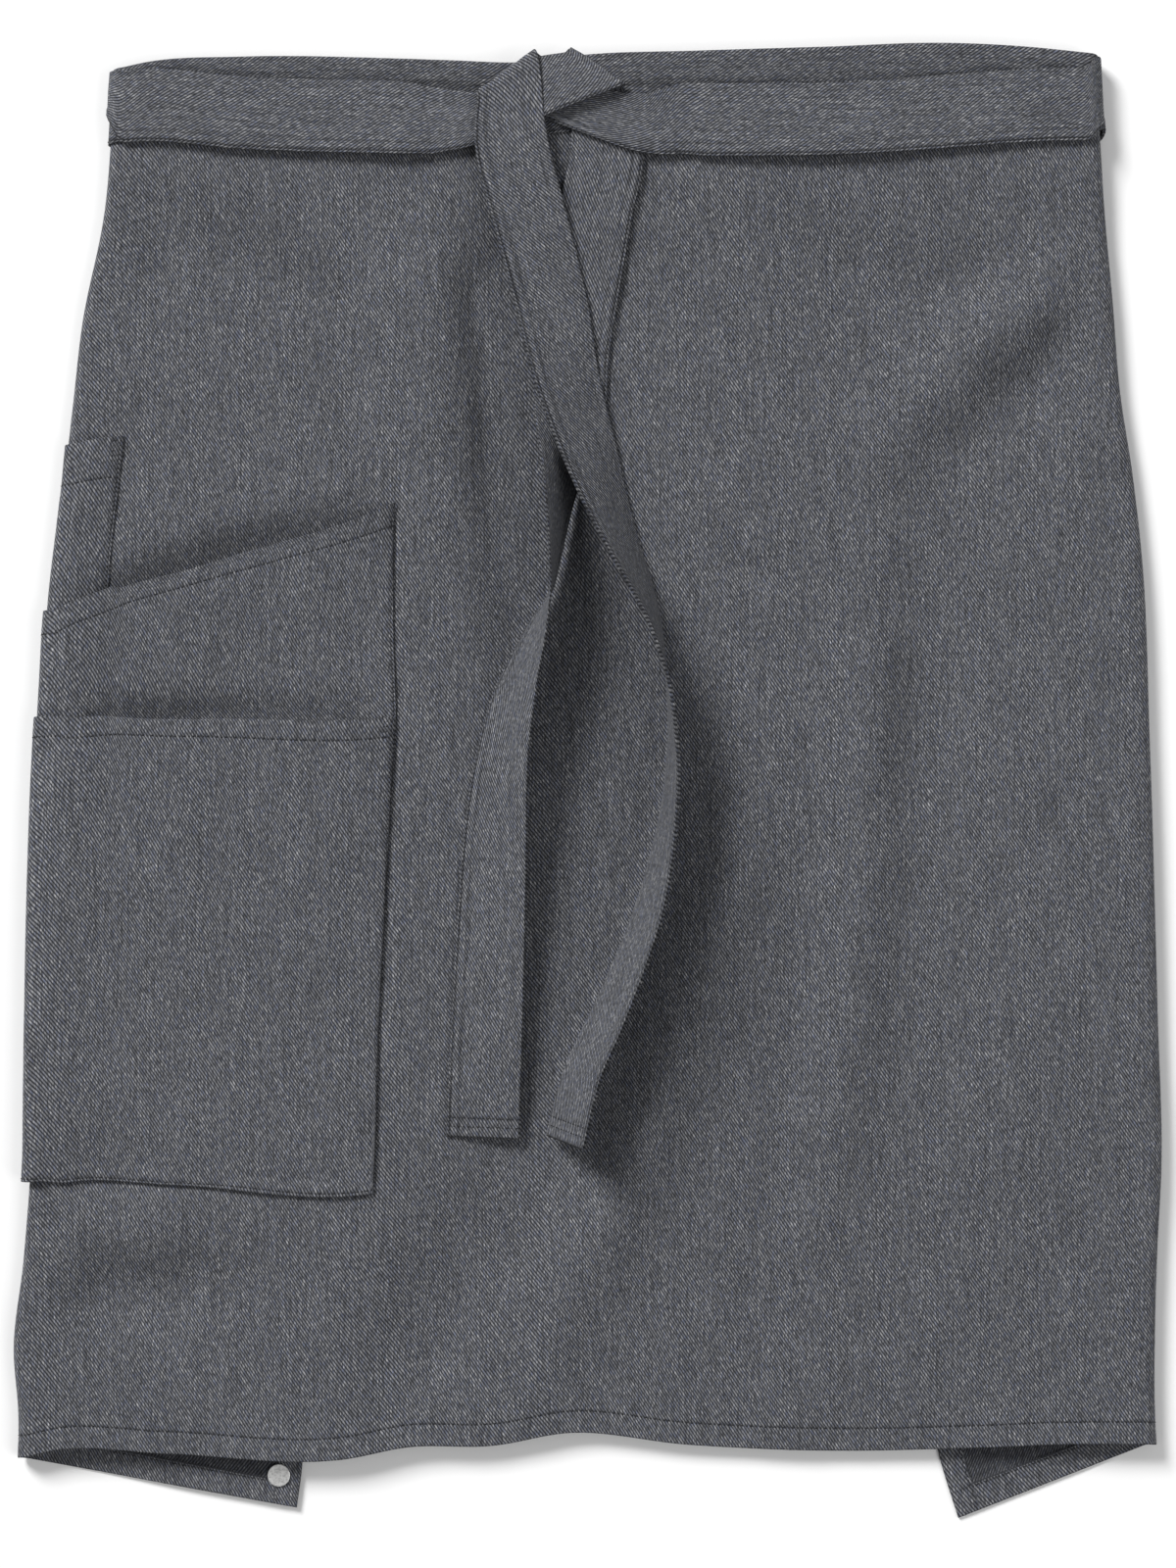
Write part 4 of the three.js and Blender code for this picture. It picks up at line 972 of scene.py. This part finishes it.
def build_pocket(name, shape):
    width = front_start + float(shape.right(np.array(large_mouth))) - pocket_turn
    across, depth = pocket_grid(shape, width)
    middle, normal, flat, from_right, from_bottom = pocket_middle(shape, width, across, depth)
    rounded, dent = edge_round(across, twill.wall), stitch_dent(depth - shape.hem)
    doubled = 1 - smoothstep(depth, shape.hem + 1, shape.hem + 1.5)
    for distance in (depth, from_right, from_bottom):
        rounded = rounded * edge_round(distance, twill.wall * 1.6)
    for distance in (from_right, from_bottom):
        dent = np.maximum(dent, stitch_dent(distance - twill.seam_inset))
        doubled = np.maximum(doubled, 1 - smoothstep(distance, 7, 9))
    outward = rounded * (pocket_skin - dent_depth.pocket * dent + 0.08 * doubled)
    inward = rounded * (0.15 + 0.2 * doubled)
    outer, inner = middle + normal * outward[..., None], middle - normal * inward[..., None]
    nearest = np.minimum(np.minimum(depth, from_right), from_bottom)
    # Painted shade in the pocket's stitch dents and along its edges.
    painted_seam_shade = np.maximum(0.5 * dent, edge_painted_shade(nearest) * 0.7)
    piece = cloth_shell(name + "_cloth", outer, inner, flat, flat, pocket_twill, skirt_wrong_side_and_shade, painted_seam_shade)

    # Stitched lines: the mouth's hem, the right edge, the bottom and a narrow box at the mouth's corner.
    seam = width - twill.seam_inset
    right_depth = float(pocket_depth(shape, 1.0))
    low_across = np.linspace(2, seam, 200)
    on_front = np.clip((low_across - front_start) / (width - front_start), 0, 1)
    box = np.linspace(0.8, min(shape.hem + 1, 18), 30)
    lines = []
    for at_across, at_depth in (
            (np.linspace(2, seam, 300), shape.hem),
            (seam, np.linspace(1, right_depth - twill.seam_inset, 200)),
            (low_across, pocket_depth(shape, on_front) - twill.seam_inset),
            (seam - 4.2, box), (seam - 2.6, box)):
        at_across, at_depth = np.broadcast_arrays(np.asarray(at_across, float), np.asarray(at_depth, float))
        points, normals, *_ = pocket_middle(shape, width, at_across, at_depth)
        lines.append((points + normals * (pocket_skin - stitch_sink), normals))
    return piece, stitches(name + "_stitches", lines)


# The ties.
def top_of_cloth(x, y):
    down = (waist_line - y) / skirt.length
    banded = np.where(down < band_share * 1.35, gap + band.wall, 0)
    return front_height(x, y) + skirt.cloth / 2 + banded


def resting_height(x, y):
    offsets = np.array([-18.0, 0, 18])
    across, along = np.meshgrid(offsets, offsets)
    return float(np.max(top_of_cloth(x + across, y + along)))


knot_y = waist_line - tie.knot_drop


def in_tie_widths(x):
    return (x - tie.knot_x) / tie.width


def through_knot(x):
    return smoothstep(in_tie_widths(x), -0.7, -0.05)


def left_belt_layer(x, y):
    below_middle = knot_y + 8.9 + 12.9 * in_tie_widths(x) - y
    lip = 1.4 * smoothstep(below_middle, 0, 8) * smoothstep(in_tie_widths(x), -0.7, -0.1)
    return smoothstep(in_tie_widths(x), -1.9, -1.4) + through_knot(x) + lip


def right_belt_layer(x, y):
    return through_knot(x) * (1 - smoothstep(in_tie_widths(x), 1.25, 1.75))


def left_tail_layer(x, y):
    return 0


def right_tail_layer(x, y):
    below = (knot_y - y) / tie.width
    over_knot = (1 + through_knot(x)) * (1 - smoothstep(below, 0.85, 1.6))
    return over_knot + 1.25 * (1 - smoothstep(below, 4.4, 5.1))


def lying_station(x, y, angle, roll, stretch, layer):
    """Both edges of a tie across one point of its course, resting on the cloth or, rolled, on one edge."""
    rolled = math.radians(roll)
    half = tie.width / 2 * stretch
    lift = math.sin(rolled) * half
    clear = gap + tie.thickness / 2 * max(abs(math.cos(rolled)), 0.4)
    pair = []
    for side in (-1, 1):
        edge_x = x + side * math.cos(angle) * math.cos(rolled) * half
        edge_y = y + side * math.sin(angle) * math.cos(rolled) * half
        rest = lerp(resting_height(edge_x, edge_y), resting_height(x, y), min(roll / 10, 1))
        height = rest + clear + float(layer(edge_x, edge_y)) * tie.layer + lift - side * lift
        pair.append((edge_x, edge_y, height))
    return pair


def curve_point(points, at):
    """A point of the centripetal curve through points, at a place counted in points."""
    start = min(int(at), len(points) - 2)
    p1, p2 = points[start], points[start + 1]
    p0 = points[start - 1] if start > 0 else 2 * p1 - p2
    p3 = points[start + 2] if start + 2 < len(points) else 2 * p2 - p1
    first, step, last = (max(np.linalg.norm(b - a) ** 0.5, 1e-4) for a, b in ((p0, p1), (p1, p2), (p2, p3)))
    leave = (p1 - p0) / first - (p2 - p0) / (first + step) + (p2 - p1) / step
    arrive = (p2 - p1) / step - (p3 - p1) / (step + last) + (p3 - p2) / last
    return hermite(p1, leave * step, p2, arrive * step, at - start)


def lying_run(rows, scale, per_row, fold_at_start, fold_at_end, layer):
    """Stations of a lying stretch of tie along a table of shares of scale, and how wide they are."""
    points = np.stack([tie.knot_x + rows["across"] * scale, knot_y - rows["below"] * scale], -1)
    intervals = len(points) - 1
    numbers = dict(at=np.arange(intervals + 1.0), roll=rows["roll"], narrow=rows["narrow"])
    stations, narrows = [], []
    for k in range(intervals * per_row + 1):
        at = k / per_row
        middle = curve_point(points, at)
        heading = curve_point(points, min(at + 0.01, intervals)) - curve_point(points, max(at - 0.01, 0))
        roll, narrow = (float(read_row(numbers, at, column)) for column in ("roll", "narrow"))
        angle = square = math.atan2(heading[1], heading[0]) + math.pi / 2
        for fold, end in ((fold_at_start, points[0]), (fold_at_end, points[-1])):
            if fold is not None:
                turn = math.radians(fold) - square
                turn -= math.pi * round(turn / math.pi)
                angle += float(turn * (1 - smoothstep(np.linalg.norm(middle - end) / tie.width, 0, 1.1)))
        stretch = narrow / max(math.cos(angle - square), 0.5)
        stations.append(lying_station(middle[0], middle[1], angle, roll, stretch, layer))
        narrows.append(narrow)
    stations = np.array(stations)
    smoothed(stations[..., 2], per_row * 5)
    return stations, np.array(narrows)


def fold_stations(start, end, outwards):
    """A tie's turn from one lying stretch into the next, above or below it."""
    made = []
    for angle in np.linspace(0, math.pi, 11)[1:-1]:
        pair = []
        for low, high in zip(start, end):
            rise = (high[2] - low[2]) / 2
            point = (low + high) / 2 + outwards * abs(rise) * math.sin(angle)
            point[2] -= rise * math.cos(angle)
            pair.append(point)
        made.append(pair)
    return np.array(made)


def belt_stations(places, side):
    """Both edges of a tie where it runs along the waistband."""
    places = np.asarray(places, float)
    half = tie.width / 2 / skirt.length
    down = read_row(belt_rows, places, "down")
    edges = []
    for edge in (side, -side):
        offset = np.full(len(places), belt_offset)
        if edge > 0:
            on_front = smoothstep(places, 2.02, 2.12) * (1 - smoothstep(places, 2.88, 2.98))
            raised = 1.2 + 2.4 * bump(places, 2.31, 0.09) + 1.8 * bump(places, 2.74, 0.1)
            offset = offset + on_front * raised
        point = cloth_skin(places, np.maximum(down + edge * half, 0), offset)
        point[:, 2] = np.where((places < 1) | (places > 4), tie.thickness / 2, point[:, 2])
        edges.append(point)
    return np.stack(edges, 1)


turn_back_share = 0.15


def sewn_end(side):
    """The stations of a tie's sewn end, which turns back under itself."""
    end = 0 if side < 0 else 5
    full = skirt.left_flap if side < 0 else skirt.right_flap
    inwards = -side * tie.seam / full
    along = belt_stations([end + inwards, end + inwards * turn_back_share], side)
    low = along[1].copy()
    high = along.copy()
    high[..., 2] = tie.thickness * 1.5 + gap
    outwards = low[0] - along[0][0]
    outwards[2] = 0
    return np.concatenate([high, fold_stations(high[1], low, unit(outwards)), low[None]])


def ordered(stations, before):
    """The same stations, with their two edges in the order of the stretch before."""
    straight = np.linalg.norm(stations[0, 0] - before[0])
    swapped = np.linalg.norm(stations[0, 1] - before[0])
    return stations[:, ::-1] if swapped < straight else stations


def whole_tie(side, knot_rows, fold_angle, tail_rows, length, belt_layer, tail_layer):
    """Stations of a tie from its sewn end to its loose end, and how wide it is at each."""
    full = skirt.left_flap if side < 0 else skirt.right_flap
    sewn = tie.seam * turn_back_share / full
    marks = [sewn, 1, 2] if side < 0 else [5 - sewn, 4, 3]
    belt_end = tie.knot_x + knot_rows["across"][0] * tie.width + side * tie.width * 0.3
    marks.append(2 + (belt_end - float(left_side(0))) / skirt.waist)
    places = [np.linspace(*span)[1:] for span in zip(marks, marks[1:], (24, 15, 50))]
    belt = belt_stations(np.concatenate(places), side)
    through, through_narrow = lying_run(knot_rows, tie.width, 10, None, fold_angle, belt_layer)
    through = ordered(through, belt[-1])
    hanging, tail_narrow = lying_run(tail_rows, length, 8, fold_angle, None, tail_layer)
    hanging = ordered(hanging, through[-1])
    upwards = math.radians(fold_angle) + math.pi / 2
    turned = fold_stations(through[-1], hanging[0], np.array([math.cos(upwards), math.sin(upwards), 0]))
    ends = sewn_end(side)
    narrow = np.concatenate([np.ones(len(ends) + len(belt)), through_narrow,
                             np.full(len(turned), through_narrow[-1]), tail_narrow])
    return np.concatenate([ends, belt, through, turned, hanging]), narrow


def refined(stations, narrow, step):
    """More stations between the given ones, smoothed a little, and how far along the tie they are."""
    spans = np.linalg.norm(np.diff(stations.mean(1), axis=0), axis=1)
    at = np.concatenate([[0], np.cumsum(np.maximum(spans, 1e-4))])
    wanted = np.concatenate([*(spread_evenly(start, end, step)[:-1] for start, end in zip(at, at[1:])),
                             [at[-1]]])
    columns = stations.reshape(len(stations), 6).T
    points = smoothed(np.stack([np.interp(wanted, at, column) for column in columns], -1), 6)
    return points.reshape(-1, 2, 3), smoothed(np.interp(wanted, at, narrow), 6), wanted


tie_wall = Sizes(half=0.62, seam_half=1.05, seam=(6.2, 7.4), hem=(13, 14.2), edge_pull=0.7)
tie_end_lines = (11, 6.4)  # stitched this far from the loose end


def build_tie(name, stations, narrow, open_edge):
    """A tie's cloth and stitches. Its long seam runs along its edge number open_edge, 0 or 1."""
    pairs, narrow, along = refined(stations, narrow, 1.7)
    width, seam = tie.width, twill.seam_inset
    folded_insets = np.array([0, 0.08, 0.3, 0.7, 1.5, 3.5])
    open_insets = np.array([0, 0.1, 0.35, 0.8, 1.5, seam, 2.2, 3, 5, 6.6, 7.2, 8.4])
    between = spread_evenly(open_insets[-1], width - folded_insets[-1], 3.4)[1:-1]
    across = from_open = np.concatenate([open_insets, between, (width - folded_insets)[::-1]])
    if open_edge:
        from_open = from_open[::-1]
        across = width - from_open
    middle = lerp(pairs[:, :1], pairs[:, 1:], (across / width)[None, :, None])
    forward = np.gradient(middle, axis=0)
    normal = unit(np.cross(forward, np.broadcast_to(pairs[:, 1:] - pairs[:, :1], forward.shape)))
    end_inset = np.minimum(along, along[-1] - along)[:, None]
    to_end = along[-1] - along[:, None]
    pleats = np.sin(across / width * 2 * math.pi * 2.5 + along[:, None] * 0.05) * (1 - narrow)[:, None]
    wave = soft_noise(across[None, :], along[:, None] * 0.6, 16, 41 + open_edge) * 0.3
    wave = wave * smoothstep(end_inset, 0, 10) + pleats * 0.7
    middle = middle + normal * wave[..., None]
    half = lerp(tie_wall.seam_half, tie_wall.half, smoothstep(from_open, *tie_wall.seam))
    inset = np.minimum(from_open, width - from_open)
    rounded = np.where(from_open < width / 2, 0.35 + 0.65 * edge_round(from_open, 1.6),
                       edge_round(inset, 1.4))
    end_dent = stitch_dent(to_end - tie_end_lines[0])
    dents = dent_depth.tie * stitch_dent(from_open - seam) + dent_depth.tie_end * end_dent
    hemmed = 0.12 * (1 - smoothstep(to_end, *tie_wall.hem))
    thickness = (half + hemmed - dents) * rounded * edge_round(end_inset, 1.4)
    edge, beside = (-1, -2) if open_edge else (0, 1)
    thickness[:, edge] = 0
    middle[:, edge] += unit(middle[:, beside] - middle[:, edge]) * tie_wall.edge_pull
    outer, inner = middle + normal * thickness[..., None], middle - normal * thickness[..., None]
    flat = np.stack(np.broadcast_arrays(across[None, :], along[:, None]), -1)
    # Painted shade in the long seam's stitch dents, in the groove 7 mm in from the open edge, along both
    # long edges, at both ends and in the end's stitch dents.
    painted_seam_shade = np.maximum(stitch_dent(from_open - seam), 0.5 * bump(from_open, 7, 0.8))
    painted_seam_shade = np.maximum(painted_seam_shade, edge_painted_shade(inset))
    painted_seam_shade = np.maximum(painted_seam_shade, np.maximum(end_dent, edge_painted_shade(end_inset)))
    piece = cloth_shell(name + "_cloth", outer, inner, flat * (-1, 1), flat, tie_twill, painted_seam_shade=painted_seam_shade)
    column = int(np.argmin(np.abs(from_open - seam)))
    lines = []
    for skin, face in ((outer, 1), (inner, -1)):
        lines.append((skin[2:-2, column], normal[2:-2, column] * face))
        for distance in tie_end_lines:
            row = int(np.argmin(np.abs(along[-1] - along - distance)))
            lines.append((skin[row, 2:-2], normal[row, 2:-2] * face))
    return piece, stitches(name + "_stitches", lines)


# The press stud.
def select_faces(piece, chosen):
    """Selects the faces whose middle and normal answer the question, in edit mode."""
    bpy.ops.object.mode_set(mode="EDIT")
    bpy.ops.mesh.select_mode(type="FACE")
    bpy.ops.mesh.select_all(action="DESELECT")
    bpy.ops.object.mode_set(mode="OBJECT")
    for face in piece.data.polygons:
        face.select = bool(chosen(face.center, face.normal))
    bpy.ops.object.mode_set(mode="EDIT")


def model_disc(name, centre, low, inset_share, dome):
    """A pressed disc with a rolled rim and a slightly sunk middle, from the height low upwards."""
    bpy.ops.object.select_all(action="DESELECT")
    bpy.ops.mesh.primitive_cylinder_add(
        vertices=56, radius=stud.radius * METRE, depth=stud.thickness * METRE,
        location=(centre[0] * METRE, centre[1] * METRE, (low + stud.thickness / 2) * METRE))
    disc = bpy.context.object
    disc.name = name
    select_faces(disc, lambda middle, normal: abs(normal.z) > 0.9)
    for share, depth in ((0.12, 0), (inset_share, -dome), (0.25, dome * 0.7)):
        bpy.ops.mesh.inset(thickness=stud.radius * share * METRE, depth=depth * METRE)
    bpy.ops.object.mode_set(mode="OBJECT")
    rim = disc.modifiers.new("rim", "BEVEL")
    rim.width = 0.28 * METRE
    rim.segments = 3
    rim.limit_method = "ANGLE"
    bpy.ops.object.transform_apply(location=True, rotation=True, scale=True)
    bpy.ops.object.modifier_apply(modifier="rim")
    bpy.ops.object.shade_smooth_by_angle(angle=math.radians(40))
    disc.data.materials.append(stud_nickel)
    return disc


def build_stud():
    down, along, _ = stud_place()
    centre = cloth_point(1 - along, down)
    away = skirt.cloth / 2 + gap
    cap = model_disc("stud_disc", centre, centre[2] + away, 0.16, 0.12)
    ring = model_disc("stud_ring", centre, centre[2] - away - stud.thickness, 0.3, 0.5)
    return cap, ring


# Everything together.
def fasten(piece, node, stitched=()):
    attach(piece, "root")
    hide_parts(node)
    for trim in stitched:
        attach(trim, "root")


skirt_piece = build_skirt()
hem_stitches = build_hem_stitches()
band_piece, band_stitches = build_band()
fasten(skirt_piece, "apron_body", [hem_stitches])
fasten(band_piece, "waistband", [band_stitches])

pocket_pieces = {}
for label, shape in pockets.items():
    cloth, trim = build_pocket("pocket_" + label, shape)
    fasten(cloth, shape.node, [trim])
    pocket_pieces[label] = cloth, trim

left_stations, left_narrow = whole_tie(-1, left_knot_rows, left_fold_angle, left_tail_rows, tie.left_tail,
                                       left_belt_layer, left_tail_layer)
right_stations, right_narrow = whole_tie(1, right_knot_rows, right_fold_angle, right_tail_rows,
                                         tie.right_tail, right_belt_layer, right_tail_layer)
left_tie, left_tie_stitches = build_tie("tie_left", left_stations, left_narrow, 1)
right_tie, right_tie_stitches = build_tie("tie_right", right_stations, right_narrow, 0)
fasten(left_tie, "tie_left", [left_tie_stitches])
fasten(right_tie, "tie_right", [right_tie_stitches])

stud_cap, stud_ring = build_stud()
fasten(stud_cap, "stud_cap")
fasten(stud_ring, "stud_socket")

for label, size in (("large", (0.235, 0.262)), ("angled", (0.235, 0.383)), ("pen", (0.07, 0.15))):
    cloth, trim = pocket_pieces[label]


# The studio.
def pale_floor():
    bpy.ops.object.select_all(action="DESELECT")
    bpy.ops.mesh.primitive_plane_add(size=8, location=(0, 0, -0.0003))
    floor = bpy.context.object
    floor.name = "floor"
    material, tree, shader = new_material("pale_floor")
    fill_inputs(tree, shader, {"Base Color": (0.93, 0.93, 0.93, 1), "Roughness": 0.9})
    floor.data.materials.append(material)


def soft_light(name, place, size, power):
    """A square light that faces the apron's middle."""
    light = bpy.data.lights.new(name, "AREA")
    light.shape = "SQUARE"
    light.size = size
    light.energy = power
    lamp = bpy.data.objects.new(name, light)
    bpy.context.scene.collection.objects.link(lamp)
    lamp.location = place
    lamp.rotation_mode = "QUATERNION"
    lamp.rotation_quaternion = (-Vector(place)).to_track_quat("-Z", "Y")


def studio():
    pale_floor()
    world = bpy.data.worlds.new("studio")
    world.use_nodes = True
    background = world.node_tree.nodes["Background"]
    background.inputs["Color"].default_value = (1, 1, 1, 1)
    background.inputs["Strength"].default_value = 0.3
    bpy.context.scene.world = world
    soft_light("key", (-4.8, 5.8, 5.4), 3.2, 1010)
    soft_light("fill", (5, -2, 6), 5, 190)
    lens, frame_height, film = 100, 0.88, 36
    camera = bpy.data.cameras.new("camera")
    camera.lens = lens
    camera.sensor_width = film
    camera.clip_start, camera.clip_end = 0.05, 50
    eye = bpy.data.objects.new("camera", camera)
    bpy.context.scene.collection.objects.link(eye)
    eye.location = (0, 0, frame_height * lens / film + 0.012)
    bpy.context.scene.camera = eye
    bpy.context.scene.view_settings.view_transform = "Standard"


studio()
